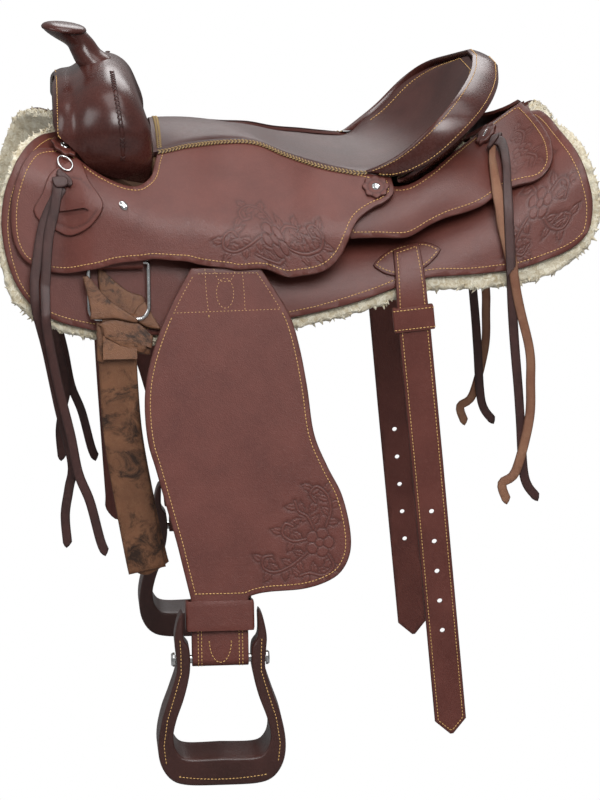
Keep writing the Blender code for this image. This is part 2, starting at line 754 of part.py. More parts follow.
BOARD_SHARES = [-1, -0.8, -0.5, -0.2, 0.2, 0.5, 0.8, 1]
SHARES = [-1, -0.93, -0.8, -0.62, -0.42, -0.2, 0, 0.2, 0.42, 0.62, 0.8, 0.93, 1]


def up_facing(bm):
    bmesh.ops.recalc_face_normals(bm, faces=bm.faces)
    if sum((face.normal.z - face.normal.x) * face.calc_area() for face in bm.faces) < 0:
        bmesh.ops.reverse_faces(bm, faces=bm.faces)
    return bm


def padded(bm):
    """Stuffs a skin of rows: full in the middle and drawn in at its stitched edge."""
    bm.normal_update()
    bm.verts.ensure_lookup_table()
    count = len(SHARES)
    rows = len(bm.verts) // count
    top, bottom = [], []
    for n, vert in enumerate(list(bm.verts)):
        row, share = n // count, abs(SHARES[n % count])
        ends = min(row, rows - 1 - row)
        pinch = max((share - 0.8) / 0.2, 1 - ends / 2, 0) ** 2
        top.append(vert.co - vert.normal * PAD_CROWN * pinch)
        bottom.append(vert.co - vert.normal * SEAT_PAD_THICK)
    bm.free()
    line = [top[n * count:(n + 1) * count] for n in range(rows)]
    under = [bottom[n * count:(n + 1) * count] for n in range(rows)]
    return loft([a + b[::-1] for a, b in zip(line, under)])


def seat(suede, hide, board, wood):
    """The padded seat with its drawn-in edge, the ground seat under it and the cantle."""
    last = len(SEAT_ROWS) - 1
    skin = loft(seat_skin(0, last, SHARES), closed_ring=False, caps=False)
    keep("seat_pad", padded(up_facing(skin)), suede)
    thing = keep("ground_seat", ground_seat_skin(), board)
    thicken(thing, GROUND_SEAT_THICK)
    bed = above_bars("cantle_bed", (90, 240))
    bm = loft(seat_skin(CANTLE_FIRST_ROW, last, BOARD_SHARES), closed_ring=False, caps=False)
    bm = sunk(up_facing(bm), SEAT_PAD_THICK + 6 * GAP)
    thing = keep("cantle_board", bm, wood)
    thicken(thing, CANTLE_BOARD_THICK)
    combine(thing, bed, "DIFFERENCE")
    room = cantle_roll(hide)
    combine(thing, room, "DIFFERENCE")
    bm = loft(seat_skin(CANTLE_FIRST_ROW, last, BOARD_SHARES), closed_ring=False, caps=False)
    bm = sunk(up_facing(bm), SEAT_PAD_THICK + CANTLE_BOARD_THICK + 10 * GAP)
    thing = keep("cantle_back", bm, hide)
    thicken(thing, CANTLE_BACK_THICK)
    combine(thing, bed, "DIFFERENCE")
    combine(thing, room, "DIFFERENCE")


def ground_seat_skin():
    """The arched plate under the pad, from one bar over to the other."""
    grid = []
    drop = SEAT_PAD_THICK + 2.0
    for line in seat_skin(0, 7, SHARES, drop=drop, edge_in=9):
        x, y, z = line[0]
        feet = []
        for share in (1.0, 0.5):
            out = abs(y) + 7 * share
            bar = spine(x) + (BAR_TOP + 2 * GAP) / cos(TOP_LEAN) - out * tan(TOP_LEAN)
            feet.append((x, out, bar + (z - bar) * (1 - share) + GROUND_SEAT_THICK * share))
        left = [(a, -b, c) for a, b, c in feet]
        grid.append(left + line + feet[::-1])
    return up_facing(loft(grid, closed_ring=False, caps=False))


def roll_rings(section):
    """Cross-sections round the cantle's rim, each a ring of shares across it and heights off it."""
    rim = smooth_line([row[:3] for row in SEAT_ROWS[CANTLE_FIRST_ROW - 1:]], 2)
    edge = smooth_line(ROLL_EDGE, 2)
    heart = Vector(CANTLE_HEART)
    half = []
    for n, (inner, outer) in enumerate(zip(rim, edge)):
        along_rim = (rim[min(n + 1, len(rim) - 1)] - rim[max(n - 1, 0)]).normalized()
        across = outer - inner
        out = inner - heart
        for line in (along_rim, across.normalized()):
            out -= line * out.dot(line)
        out.normalize()
        half.append([inner + across * share + out * high for share, high in section])
    other = [[Vector((p.x, -p.y, p.z)) for p in ring] for ring in reversed(half)]
    return half + other


def cantle_roll(hide):
    """The flat roll round the cantle's rim, from one end over the top to the other."""
    turns = [2 * pi * n / 10 for n in range(10)]
    section = [(0.5 - 0.5 * cos(a), ROLL_ROOM + ROLL_THICK * (0.5 + 0.5 * sin(a))) for a in turns]
    keep("cantle_roll", loft(roll_rings(section)), hide)
    low, high = ROLL_ROOM - 10 * GAP, ROLL_ROOM + ROLL_THICK + 6
    room = loft(roll_rings([(-0.2, low), (-0.2, high), (1.3, high), (1.3, low)]))
    return cutter("roll_room", room)


# fender, stirrup leather and stirrup


def fender_side(name, side, hide, steel):
    pivot = pivot_at(
        f"fender_{name}_pivot",
        (FENDER_PIVOT[0], side * flank(FENDER_LIFT, FENDER_PIVOT[1]), FENDER_PIVOT[1]),
    )
    half = HANGER_WIDTH / 2
    hanger = rectangle((STRAP_X + 5 - half, HANGER_TOP), (STRAP_X + 5 + half, HANGER_END))
    bm = lay(plate(hanger, STIRRUP_LEATHER_THICK, sharp=True), HORSE, side, STRAP_LIFT)
    keep(f"stirrup_hanger_{name}", bm, hide)
    bm = lay(plate(FENDER, FENDER_THICK), on_flank(FENDER_LIFT), side, FENDER_LIFT)
    keep(f"fender_{name}", bm, hide, pivot)
    keep(f"stirrup_leather_{name}", stirrup_leather(side), hide, pivot)
    keep(f"hobble_strap_{name}", hobble_strap(side), hide, pivot)
    stirrup(name, side, hide, steel, pivot)


def loop_middle():
    """The lift of the bolt's middle, inside the leather's loop."""
    return STRAP_LIFT - BOLT_RADIUS - GAP


def down_flank(x, middle_z, middle_lift):
    """Lays distance down the flank, lift and distance across, from a middle point."""
    middle_y = flank(middle_lift, middle_z)

    def place(down, lift, across):
        out = lift - middle_lift
        y = middle_y + down * cos(FLANK_LEAN) + out * sin(FLANK_LEAN)
        return x + across, y, middle_z - down * sin(FLANK_LEAN) + out * cos(FLANK_LEAN)

    return place


def stirrup_leather(side):
    """A strap that goes down the fender's back and up again round the stirrup's bolt."""
    middle, inner = loop_middle(), BOLT_RADIUS + GAP
    outer = inner + STIRRUP_LEATHER_THICK
    back_end = HOBBLE_TOP_Z + 12 - BOLT_Z
    top = STRAP_TOP_Z - BOLT_Z
    turns = [pi * n / 8 for n in range(9)]
    outline = [(-top, middle + outer)]
    outline += [(outer * sin(a), middle + outer * cos(a)) for a in turns]
    outline += [(-back_end, middle - outer), (-back_end, middle - inner)]
    outline += [(inner * sin(a), middle + inner * cos(a)) for a in reversed(turns)]
    outline += [(-top, middle + inner)]
    place = down_flank(STRAP_X - STRAP_WIDTH / 2, BOLT_Z, middle)
    return lay(plate(outline, STRAP_WIDTH, sharp=True), place, side)


def hobble_strap(side):
    """A band round the fender's foot and both layers of the stirrup leather."""
    inner_low = loop_middle() - BOLT_RADIUS - GAP - STIRRUP_LEATHER_THICK - GAP
    inner_high = FENDER_LIFT + FENDER_THICK + GAP
    inner_half = STRAP_WIDTH / 2 + 4
    outer_half = inner_half + HOBBLE_THICK + 1
    outline = rectangle((-outer_half, inner_low - HOBBLE_THICK), (outer_half, inner_high + HOBBLE_THICK))
    hole = rectangle((-inner_half, inner_low), (inner_half, inner_high))
    place = down_flank(STRAP_X, HOBBLE_END_Z, FENDER_LIFT)

    def upright(across, lift, up):
        return place(-up, lift, across)

    return lay(plate(outline, HOBBLE_TOP_Z - HOBBLE_END_Z, [hole], sharp=True), upright, side)


def stirrup(name, side, hide, steel, parent):
    middle_y = flank(loop_middle(), BOLT_Z)
    pivot = pivot_at(f"stirrup_{name}_pivot", (STRAP_X, side * middle_y, BOLT_Z), parent)
    half = STIRRUP_HALF
    outline = [(STRAP_X + x, *rest) for x, *rest in half]
    outline += [(STRAP_X - x, *rest) for x, *rest in half[-2:0:-1]]

    def place(x, z, depth):
        share = (STIRRUP_TOP_Z - z) / (STIRRUP_TOP_Z - STIRRUP_TREAD_Z)
        deep = STIRRUP_TOP_DEPTH + (STIRRUP_TREAD_DEPTH - STIRRUP_TOP_DEPTH) * share
        return x, middle_y + (depth - 0.5) * deep, z

    body = keep(f"stirrup_{name}", lay(plate(outline, 1.0), place, side), hide, pivot)
    reach = 60
    hole = cutter(
        f"bolt_hole_{name}",
        rod((STRAP_X - reach, side * middle_y, BOLT_Z), (STRAP_X + reach, side * middle_y, BOLT_Z),
            BOLT_RADIUS + GAP),
    )
    combine(body, hole, "DIFFERENCE")
    head = 53.5
    profile = [
        (-head - BOLT_HEAD_THICK, 0), (-head - BOLT_HEAD_THICK, BOLT_HEAD_RADIUS - 1.5),
        (-head - BOLT_HEAD_THICK / 2, BOLT_HEAD_RADIUS), (-head, BOLT_HEAD_RADIUS),
        (-head, BOLT_RADIUS), (head, BOLT_RADIUS), (head, BOLT_HEAD_RADIUS),
        (head + BOLT_HEAD_THICK / 2, BOLT_HEAD_RADIUS),
        (head + BOLT_HEAD_THICK, BOLT_HEAD_RADIUS - 1.5), (head + BOLT_HEAD_THICK, 0),
    ]
    bm = bmesh.new()
    verts = [bm.verts.new((x, radius, 0)) for x, radius in profile]
    for a, b in zip(verts, verts[1:]):
        bm.edges.new((a, b))
    bmesh.ops.spin(
        bm, geom=bm.verts[:] + bm.edges[:], cent=(0, 0, 0), axis=(1, 0, 0), angle=2 * pi,
        steps=12, use_merge=True,
    )
    bmesh.ops.remove_doubles(bm, verts=bm.verts, dist=0.01)
    bmesh.ops.translate(bm, verts=bm.verts, vec=(STRAP_X, side * middle_y, BOLT_Z))
    keep(f"stirrup_bolt_{name}", bm, steel, pivot)


# rigging


def rigging(name, side, hide, steel, worn):
    bar_lift = ON_SKIRT + 4 * GAP + RIGGING_THICK + DEE_SLACK + DEE_RADIUS
    top, foot = DEE_TOP_Z - DEE_RADIUS, DEE_TOP_Z - DEE_HEIGHT + DEE_RADIUS
    pivot = pivot_at(f"dee_{name}_pivot", (DEE_X, side * flank(bar_lift, top), top))
    keep(f"rigging_loop_{name}", rigging_loop(side, bar_lift), hide)
    keep(f"rigging_dee_{name}", dee(side, bar_lift, top, foot), steel, pivot)
    low = pivot_at(f"latigo_{name}_pivot", (DEE_X, side * flank(bar_lift, foot), foot), pivot)
    return low, bar_lift, foot


def dee(side, bar_lift, top, foot):
    """A round bar bent to a D with its straight side up, the ends welded at a corner."""
    half = DEE_WIDTH / 2 - DEE_RADIUS
    turns = [pi / 2 * n / 4 for n in range(5)]
    right = [(half - DEE_CORNER + DEE_CORNER * cos(a), foot + DEE_CORNER - DEE_CORNER * sin(a)) for a in turns]
    path = [(half, top)] + right + [(-x, z) for x, z in reversed(right)] + [(-half, top)]
    place = on_flank(bar_lift)
    rings = []
    for n, (x, z) in enumerate(path):
        here = Vector((x, z))
        back = (here - Vector(path[n - 1])).normalized()
        ahead = (Vector(path[(n + 1) % len(path)]) - here).normalized()
        out = Vector((-(back + ahead).y, (back + ahead).x)).normalized()
        out /= out.dot(Vector((-back.y, back.x)))
        ring = []
        for a in (2 * pi * m / 10 for m in range(10)):
            spot = here + out * DEE_RADIUS * cos(a)
            x_at, y_at, z_at = place(DEE_X + spot.x, spot.y, bar_lift + DEE_RADIUS * sin(a))
            ring.append((x_at, side * y_at, z_at))
        rings.append(ring)
    return loft(rings + rings[:1], caps=False)


def rigging_loop(side, bar_lift):
    """A leather loop screwed under the bar, which the dee's straight side turns in."""
    room = DEE_RADIUS + DEE_SLACK
    high, low = bar_lift + room, bar_lift - room
    end = to_level(DEE_X, DEE_TOP_Z - 2 * DEE_RADIUS - bar_lift * cos(FLANK_LEAN)) + DEE_SLACK
    outline = [
        (RIGGING_TOP, high + RIGGING_THICK), (end, high + RIGGING_THICK),
        (end + RIGGING_THICK, high), (end + RIGGING_THICK, low), (end, low - RIGGING_THICK),
        (RIGGING_TOP + 6, low - RIGGING_THICK), (RIGGING_TOP + 6, low), (end - 1, low),
        (end, low + 1), (end, high - 1), (end - 1, high), (RIGGING_TOP, high),
    ]

    bm = plate(outline, RIGGING_WIDTH, sharp=True)
    turn = Matrix(((0, 0, 1), (1, 0, 0), (0, 1, 0)))
    for vert in bm.verts:
        vert.co = turn @ vert.co + Vector((DEE_X - RIGGING_WIDTH / 2, 0, 0))
    middle = to_level(DEE_X, 0)

    def place(x, distance, lift):
        return on_horse()(x, distance + to_level(x, 0) - middle, lift)

    place.down = [RIGGING_TOP + 8 + 8 * n for n in range(8)]
    return lay(bm, place, side)


def strap_loop(side, bar_lift, bar_z, width, length):
    """Leather that comes through the dee over its bottom bar, with both layers going down."""
    inner = DEE_RADIUS + GAP
    outer = inner + LATIGO_THICK
    turns = [pi * n / 6 for n in range(7)]
    outline = [(length, bar_lift + outer)]
    outline += [(-outer * sin(a), bar_lift + outer * cos(a)) for a in turns]
    outline += [(length, bar_lift - outer)]
    hole = [(DEE_RADIUS + 2, bar_lift + inner)]
    hole += [(-inner * sin(a), bar_lift + inner * cos(a)) for a in turns]
    hole += [(DEE_RADIUS + 2, bar_lift - inner)]
    place = down_flank(DEE_X - width / 2, bar_z, bar_lift)
    return lay(plate(outline, width, [hole], sharp=True), place, side)


def latigo(side, low, bar_lift, foot, worn):
    """The tie strap: a loop round the dee, the knot below it and the folded end that hangs."""
    place = in_cells(on_horse(LATIGO_EDGE, DEE_X), hanging(LATIGO_EDGE))
    lift = ON_SKIRT + 2 * GAP
    strap = lay(plate(strip(LATIGO_LINE, LATIGO_WIDTH), 2 * LATIGO_THICK), place, side, lift)
    body = keep("latigo", strap, worn, low)
    knot = lay(plate(LATIGO_KNOT, LATIGO_KNOT_THICK), place, side, lift + 0.2)
    combine(body, cutter("latigo_knot", knot), "UNION")
    loop = strap_loop(side, bar_lift, foot, LATIGO_WIDTH - 5, 50)
    combine(body, cutter("latigo_loop", loop), "UNION")


def off_billet(side, low, bar_lift, foot, hide):
    """The off side's doubled billet, with its buckle holes."""
    start, end = Vector(OFF_BILLET_LINE[0]), Vector(OFF_BILLET_LINE[-1])
    ahead = (end - start).normalized()
    holes = [
        circle(end - ahead * (30 + n * OFF_BILLET_HOLE_STEP), HOLE_RADIUS) for n in range(OFF_BILLET_HOLES)
    ]
    place = in_cells(on_horse(LATIGO_EDGE, DEE_X), hanging(LATIGO_EDGE))
    strap = plate(strip(OFF_BILLET_LINE, LATIGO_WIDTH), 2 * LATIGO_THICK, holes, 1)
    strap = lay(strap, place, side, ON_SKIRT + 2 * GAP)
    body = keep("off_billet", strap, hide, low)
    loop = strap_loop(side, bar_lift, foot, LATIGO_WIDTH - 5, 50)
    combine(body, cutter("off_billet_loop", loop), "UNION")


def flank_billet(name, side, hide):
    top, tip = Vector(BILLET_TOP), Vector(BILLET_TIP)
    ahead = (tip - top).normalized()
    out = Vector((ahead.y, -ahead.x)) * BILLET_WIDTH / 2
    neck = tip - ahead * BILLET_POINT
    outline = [
        (*(top + out * 0.8), CORNER), (*(top + ahead * 60 + out),), (*(neck + out), CORNER),
        (*tip, CORNER), (*(neck - out), CORNER), (*(top + ahead * 60 - out),), (*(top - out * 0.8), CORNER),
    ]
    holes = [
        circle(top + ahead * (BILLET_FIRST_HOLE - top.y + n * BILLET_HOLE_STEP), HOLE_RADIUS)
        for n in range(BILLET_HOLES)
    ]
    lift = ON_SKIRT + PATCH_THICK + GAP
    place = in_cells(on_horse(BILLET_EDGE, top.x, BILLET_KINK), hanging(BILLET_EDGE, BILLET_KINK))
    at = place(top.x + BILLET_WIDTH / 2, top.y - 4, lift)
    pivot = pivot_at(f"flank_billet_{name}_pivot", (at[0], side * at[1], at[2]))
    bm = lay(plate(outline, BILLET_THICK, holes, 1), place, side, lift)
    keep(f"flank_billet_{name}", bm, hide, pivot)
    room = GAP * 1.5
    low, high = lift - room, lift + BILLET_THICK + room
    half = BILLET_WIDTH / 2 + KEEPER_SIDE
    middle = top + ahead * (KEEPER_DROP - top.y)
    ring = rectangle((-half - KEEPER_THICK, low - KEEPER_THICK), (half + KEEPER_THICK, high + KEEPER_THICK))
    hole = rectangle((-half, low), (half, high))
    across = Vector((ahead.y, -ahead.x))

    def keeper_place(out, height, length):
        spot = middle + across * out + ahead * (length - KEEPER_LENGTH / 2)
        return place(spot.x, spot.y, height)

    at = keeper_place(0, lift, 0)
    slide = pivot_at(f"billet_keeper_{name}_pivot", (at[0], side * at[1], at[2]), pivot)
    bm = lay(plate(ring, KEEPER_LENGTH, [hole], sharp=True), keeper_place, side)
    keep(f"billet_keeper_{name}", bm, hide, slide)


# rosettes, screws and strings


def rosette(name, side, spot, surface, lift, hide, steel, screw_only=False):
    """A scalloped leather washer under a domed screw, or the screw alone."""
    lobes = 8
    count = lobes * 4
    scallop = [
        (spot[0] + r * cos(a), spot[1] + r * sin(a))
        for a, r in (
            (2 * pi * n / count, ROSETTE_RADIUS * (0.93 + 0.07 * cos(lobes * 2 * pi * n / count)))
            for n in range(count)
        )
    ]
    seat_lift = lift
    if screw_only:
        bm = lay(plate(circle(spot, SCREW_RADIUS, 10), SCREW_DOME, sharp=True), surface, side, seat_lift)
        return keep(name, bm, steel)
    bm = lay(plate(scallop, ROSETTE_THICK, sharp=True), surface, side, seat_lift)
    thing = keep(name, bm, hide)
    dome = plate(circle(spot, SCREW_RADIUS, 10), ROSETTE_THICK + SCREW_DOME - 1, sharp=True)
    combine(thing, cutter(f"{name}_screw", lay(dome, surface, side, seat_lift + 1)), "UNION")
    return thing


def strings(name, side, lines, table, fold, lift, knot, pivot_spot, hide):
    """One lace folded through its knot, with two hanging ends."""
    lines_down = JOCKEY_LINES[:-1] + hanging(STRING_EDGE)[-5:]
    place = in_cells(on_line(table, fold, STRING_EDGE, lines[0][-1][0]), lines_down)
    at = place(pivot_spot[0], pivot_spot[1], lift + 1)
    pivot = pivot_at(f"{name}_pivot", (pivot_spot[0], side * at[1], at[2]))
    layers = []
    for n, line in enumerate(lines):
        bm = plate(strip(line, STRING_WIDTH, 1), STRING_THICK, resolution=1)
        layers.append(lay(bm, place, side, lift + (1 - n) * (STRING_THICK + GAP)))
    body = keep(name, layers[0], hide, pivot)
    combine(body, cutter(f"{name}_back", layers[1]), "UNION")
    block = plate(circle(knot, 10.5, 8), 2 * STRING_THICK + GAP + 1.6)
    combine(body, cutter(f"{name}_knot", lay(block, place, side, lift - 0.2)), "UNION")
    return pivot


def ring(name, side, middle, surface, lift, steel, pivot):
    bm = bmesh.new()
    count, sides = 20, 6
    rows = []
    for n in range(count):
        a = 2 * pi * n / count
        row = []
        for m in range(sides):
            b = 2 * pi * m / sides
            reach = RING_RADIUS + RING_WIRE * cos(b)
            spot = surface(
                middle[0] + reach * cos(a), middle[1] + reach * sin(a), lift + RING_WIRE * (1 + sin(b))
            )
            row.append(bm.verts.new((spot[0], side * spot[1], spot[2])))
        rows.append(row)
    for n in range(count):
        one, two = rows[n], rows[(n + 1) % count]
        for m in range(sides):
            bm.faces.new((one[m], one[(m + 1) % sides], two[(m + 1) % sides], two[m]))
    keep(name, bm, steel, pivot)


def trim(name, side, hide, steel, lace):
    on_jockey = SEAT_JOCKEY_THICK + GAP
    on_holder = on_jockey + HOLDER_THICK + GAP
    on_back_jockey = BACK_JOCKEY_THICK + GAP + TWIST_ROOM
    if side < 0:
        bm = plate(HOLDER, HOLDER_THICK, [HOLDER_SLOT])
        bm = lay(bm, SEAT_JOCKEY_SIDE, side, on_jockey)
        keep("latigo_holder", bm, hide)
    front_lift = on_holder if side < 0 else on_jockey
    rosette(f"front_rosette_{name}", side, FRONT_ROSETTE, SEAT_JOCKEY_SIDE, front_lift, hide, steel)
    rosette(f"seat_rosette_{name}", side, SEAT_ROSETTE, SEAT_JOCKEY_SIDE, on_jockey, hide, steel)
    rosette(f"jockey_screw_{name}", side, JOCKEY_SCREW, SEAT_JOCKEY_SIDE, on_jockey, hide, steel, True)
    rosette(
        f"rear_rosette_{name}", side, REAR_ROSETTE, BACK_JOCKEY_SIDE, BACK_JOCKEY_THICK + 4 * GAP, hide, steel
    )
    drop = FRONT_ROSETTE[1] + ROSETTE_RADIUS + RING_RADIUS + RING_WIRE + 1.0
    knot = (FRONT_ROSETTE[0] - 4, drop + RING_RADIUS + RING_WIRE + 11.5)
    pivot = strings(
        f"front_string_{name}", side, [FRONT_STRING, FRONT_STRING_BACK], SEAT_JOCKEY_LINE, SEAT_JOCKEY_FOLD,
        front_lift, knot, (FRONT_ROSETTE[0], drop - RING_RADIUS - 2 * RING_WIRE), lace,
    )
    ring(f"string_ring_{name}", side, (FRONT_ROSETTE[0], drop), SEAT_JOCKEY_SIDE, front_lift, steel, pivot)
    strings(
        f"rear_string_{name}", side, [REAR_STRING, REAR_STRING_BACK], BACK_JOCKEY_LINE, BACK_JOCKEY_FOLD,
        on_back_jockey, (REAR_ROSETTE[0] + 8, REAR_ROSETTE[1] + ROSETTE_RADIUS + 12),
        (REAR_ROSETTE[0] + 16, REAR_ROSETTE[1] + ROSETTE_RADIUS - 4), lace,
    )


def build():
    empty_scene()
    hide = finish("russet_leather", (0.14, 0.045, 0.03), 0.5)
    dark = finish("dark_smooth_leather", (0.055, 0.02, 0.015), 0.35)
    suede = finish("seat_leather", (0.07, 0.028, 0.022), 0.5)
    worn = finish("worn_latigo", (0.16, 0.075, 0.03), 0.6)
    lace = finish("lace_leather", (0.08, 0.03, 0.022), 0.6)
    wool = finish("shearling", (0.62, 0.6, 0.48), 0.95)
    wood = finish("tree_wood", (0.45, 0.3, 0.16), 0.7)
    board = finish("ground_seat_leather", (0.3, 0.17, 0.09), 0.7)
    steel = finish("stainless_steel", (0.6, 0.6, 0.58), 0.25, 1.0)
    cover = fork_and_swell(wood, dark)
    horn(cover, steel, dark)
    seat(suede, dark, board, wood)
    for name, side in SIDES.items():
        side_leathers(name, side, hide, wool, wood)
        jockeys(name, side, hide)
        fender_side(name, side, hide, steel)
        low, bar_lift, foot = rigging(name, side, hide, steel, worn)
        if side < 0:
            latigo(side, low, bar_lift, foot, worn)
        else:
            off_billet(side, low, bar_lift, foot, hide)
        flank_billet(name, side, hide)
        trim(name, side, hide, steel, lace)


build()
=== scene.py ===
# %% [markdown]
# A western reining saddle, dressed over its plain solids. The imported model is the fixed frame:
# each piece made here lies where its solid lies, moves with the same body and hides it.

# %% The frame
from math import atan2, ceil, cos, pi, radians, sin, tan

import bpy
import numpy as np
from mathutils import Matrix, Vector
from mathutils.bvhtree import BVHTree


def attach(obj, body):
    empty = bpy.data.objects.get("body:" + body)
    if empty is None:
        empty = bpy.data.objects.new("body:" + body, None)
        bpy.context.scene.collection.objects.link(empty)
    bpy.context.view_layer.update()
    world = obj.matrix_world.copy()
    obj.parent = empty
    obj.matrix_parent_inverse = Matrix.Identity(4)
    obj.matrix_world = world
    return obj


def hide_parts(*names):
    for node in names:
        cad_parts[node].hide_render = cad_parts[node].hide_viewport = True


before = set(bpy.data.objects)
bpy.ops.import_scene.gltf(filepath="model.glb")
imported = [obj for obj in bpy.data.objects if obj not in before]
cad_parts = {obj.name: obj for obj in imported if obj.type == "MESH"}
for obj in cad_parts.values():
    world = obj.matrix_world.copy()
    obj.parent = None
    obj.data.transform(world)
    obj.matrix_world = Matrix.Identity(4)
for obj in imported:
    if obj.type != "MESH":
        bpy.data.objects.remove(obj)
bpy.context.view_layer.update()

MM = 0.001

# %% [markdown]
# The photograph is taken from the saddle's near side with a long lens, a little from above. The
# camera stands 4 m away, so the far side's hanging pieces show at nearly the same size.

# %% The camera
AZIMUTH, ELEVATION = radians(-5), radians(14.3)
REACH, AIM_DROP, LENS, SENSOR = 4.0, 0.2556, 197, 36
ahead = Vector((-sin(AZIMUTH) * cos(ELEVATION), cos(AZIMUTH) * cos(ELEVATION), -sin(ELEVATION)))
above = Vector((cos(AZIMUTH), sin(AZIMUTH), 0)).cross(ahead)
bpy.ops.object.camera_add(location=-REACH * ahead - AIM_DROP * above)
camera = bpy.context.object
camera.name = "photo_camera"
camera.rotation_euler = ahead.to_track_quat("-Z", "Y").to_euler()
camera.data.sensor_fit = "HORIZONTAL"
camera.data.sensor_width = SENSOR
camera.data.lens = LENS
bpy.context.scene.camera = camera
bpy.context.scene.view_settings.view_transform = "Standard"
print("camera", [round(c, 3) for c in camera.location])

# %% [markdown]
# The studio is plain: a white floor far below the saddle, a strong broad lamp above the camera and
# weaker ones on top, at the head and behind. The camera sees floor and world as pure white, while
# the leather is lit by a dimmer grey, so that its sheen stays clear.

# %% The floor, the lamps and the world
FLOOR_SIZE, FLOOR_Z, FLOOR_GREY, WORLD_LIGHT = 60, -0.80, (0.3, 0.3, 0.3, 1), 0.24
LAMP_AIM = Vector((0, 0, -0.1))
LAMPS = [
    ("key_lamp", (0.3, -3.0, 2.1), 1.7, 88), ("top_lamp", (0.1, -0.5, 3.0), 2.4, 46),
    ("head_lamp", (-2.8, -1.2, 1.6), 1.6, 24), ("back_lamp", (0.6, 2.8, 2.2), 2.0, 40),
]


def seen_by_camera(tree):
    """One for the rays that come straight from the camera, and nothing for the others."""
    return tree.nodes.new("ShaderNodeLightPath").outputs["Is Camera Ray"]


bpy.ops.mesh.primitive_plane_add(size=FLOOR_SIZE, location=(0, 0, FLOOR_Z))
floor = bpy.context.object
floor.name = "studio_floor"
floor_look = bpy.data.materials.new("white_floor")
floor_look.use_nodes = True
tree = floor_look.node_tree
tree.nodes.clear()
matt = tree.nodes.new("ShaderNodeBsdfDiffuse")
matt.inputs["Color"].default_value = FLOOR_GREY
glow = tree.nodes.new("ShaderNodeEmission")
both = tree.nodes.new("ShaderNodeMixShader")
tree.links.new(seen_by_camera(tree), both.inputs["Fac"])
tree.links.new(matt.outputs[0], both.inputs[1])
tree.links.new(glow.outputs[0], both.inputs[2])
surface = tree.nodes.new("ShaderNodeOutputMaterial")
tree.links.new(both.outputs[0], surface.inputs["Surface"])
floor.data.materials.append(floor_look)

world = bpy.data.worlds.new("studio")
bpy.context.scene.world = world
world.use_nodes = True
tree = world.node_tree
back = tree.nodes["Background"]
mix = tree.nodes.new("ShaderNodeMapRange")
mix.inputs["To Min"].default_value = WORLD_LIGHT
mix.inputs["To Max"].default_value = 1.0
tree.links.new(seen_by_camera(tree), mix.inputs["Value"])
tree.links.new(mix.outputs["Result"], back.inputs["Strength"])
back.inputs["Color"].default_value = (1, 1, 1, 1)

for name, spot, size, power in LAMPS:
    bpy.ops.object.light_add(type="AREA", location=spot)
    thing = bpy.context.object
    thing.name = name
    thing.data.size = size
    thing.data.energy = power
    thing.rotation_euler = (LAMP_AIM - Vector(spot)).to_track_quat("-Z", "Y").to_euler()
print("lamps", len(LAMPS))

# %% [markdown]
# Every sheet of leather is cut flat, in millimetres, and then laid over the horse's side. The side
# is a slope off the spine, a round shoulder and a steep flank, so a path of straight runs and bends
# gives the place of each point from its distance down the side and its height off the hair.

# %% The horse's side
TOP_LEAN, FLANK_LEAN, KINK_LEAN = radians(24), radians(78), radians(88)
FLANK_Y, FLANK_Z = 150, -51.8
SHOULDER_RADIUS, HANG_RADIUS = 80, 60
WITHERS_RISE, LOIN_RISE = (97, 290), (85, 270)
FREE = 1000
CORNER = True


def along(table, x):
    """The row of a table at x, on a smooth curve through its rows."""
    last = len(table) - 1
    i = max(0, min(last - 1, sum(row[0] <= x for row in table) - 1))
    a, b = table[i], table[i + 1]
    before, after = table[max(i - 1, 0)], table[min(i + 2, last)]
    step = b[0] - a[0]
    t = min(max((x - a[0]) / step, 0), 1)
    h1, h2 = 2 * t**3 - 3 * t**2 + 1, t**3 - 2 * t**2 + t
    h3, h4 = 3 * t**2 - 2 * t**3, t**3 - t**2
    values = []
    for k in range(1, len(a)):
        slope_a = (b[k] - before[k]) / (b[0] - before[0]) * step
        slope_b = (after[k] - a[k]) / (after[0] - a[0]) * step
        values.append(h1 * a[k] + h2 * slope_a + h3 * b[k] + h4 * slope_b)
    return values


def spine(x):
    rise, reach = WITHERS_RISE if x < 0 else LOIN_RISE
    return rise * (x / reach) ** 2


def flank(lift, z):
    return FLANK_Y + lift / sin(FLANK_LEAN) + (FLANK_Z - z) / tan(FLANK_LEAN)


def walk(start, lean, runs, distance, lift):
    """The point at a distance down a path of straight runs and bends, and a lift off it."""
    y, z = start
    for number, (length, turn) in enumerate(runs):
        step = distance if number == len(runs) - 1 else min(distance, length)
        if turn:
            radius = length / turn
            end = lean + step / radius
            y += radius * (sin(end) - sin(lean))
            z += radius * (cos(end) - cos(lean))
            lean = end
        else:
            y += step * cos(lean)
            z -= step * sin(lean)
        distance -= step
        if distance <= 0:
            break
    return y + lift * sin(lean), z + lift * cos(lean)


def side_path(start, lean, lift, radius, edge, kink=None):
    y, z = start
    gap = flank(lift, z) - y
    length = gap / (cos(lean) - sin(lean) / tan(FLANK_LEAN))
    bend = FLANK_LEAN - lean
    straight = length - radius * tan(bend / 2)
    runs = [(straight, 0), (radius * bend, bend)]
    if edge:
        turn = (KINK_LEAN if kink else pi / 2) - FLANK_LEAN
        runs += [(edge - straight - radius * bend, 0), (HANG_RADIUS * turn, turn)]
    if kink:
        rest = pi / 2 - KINK_LEAN
        runs += [(kink - edge - HANG_RADIUS * turn, 0), (HANG_RADIUS * rest, rest)]
    return runs + [(FREE, 0)]


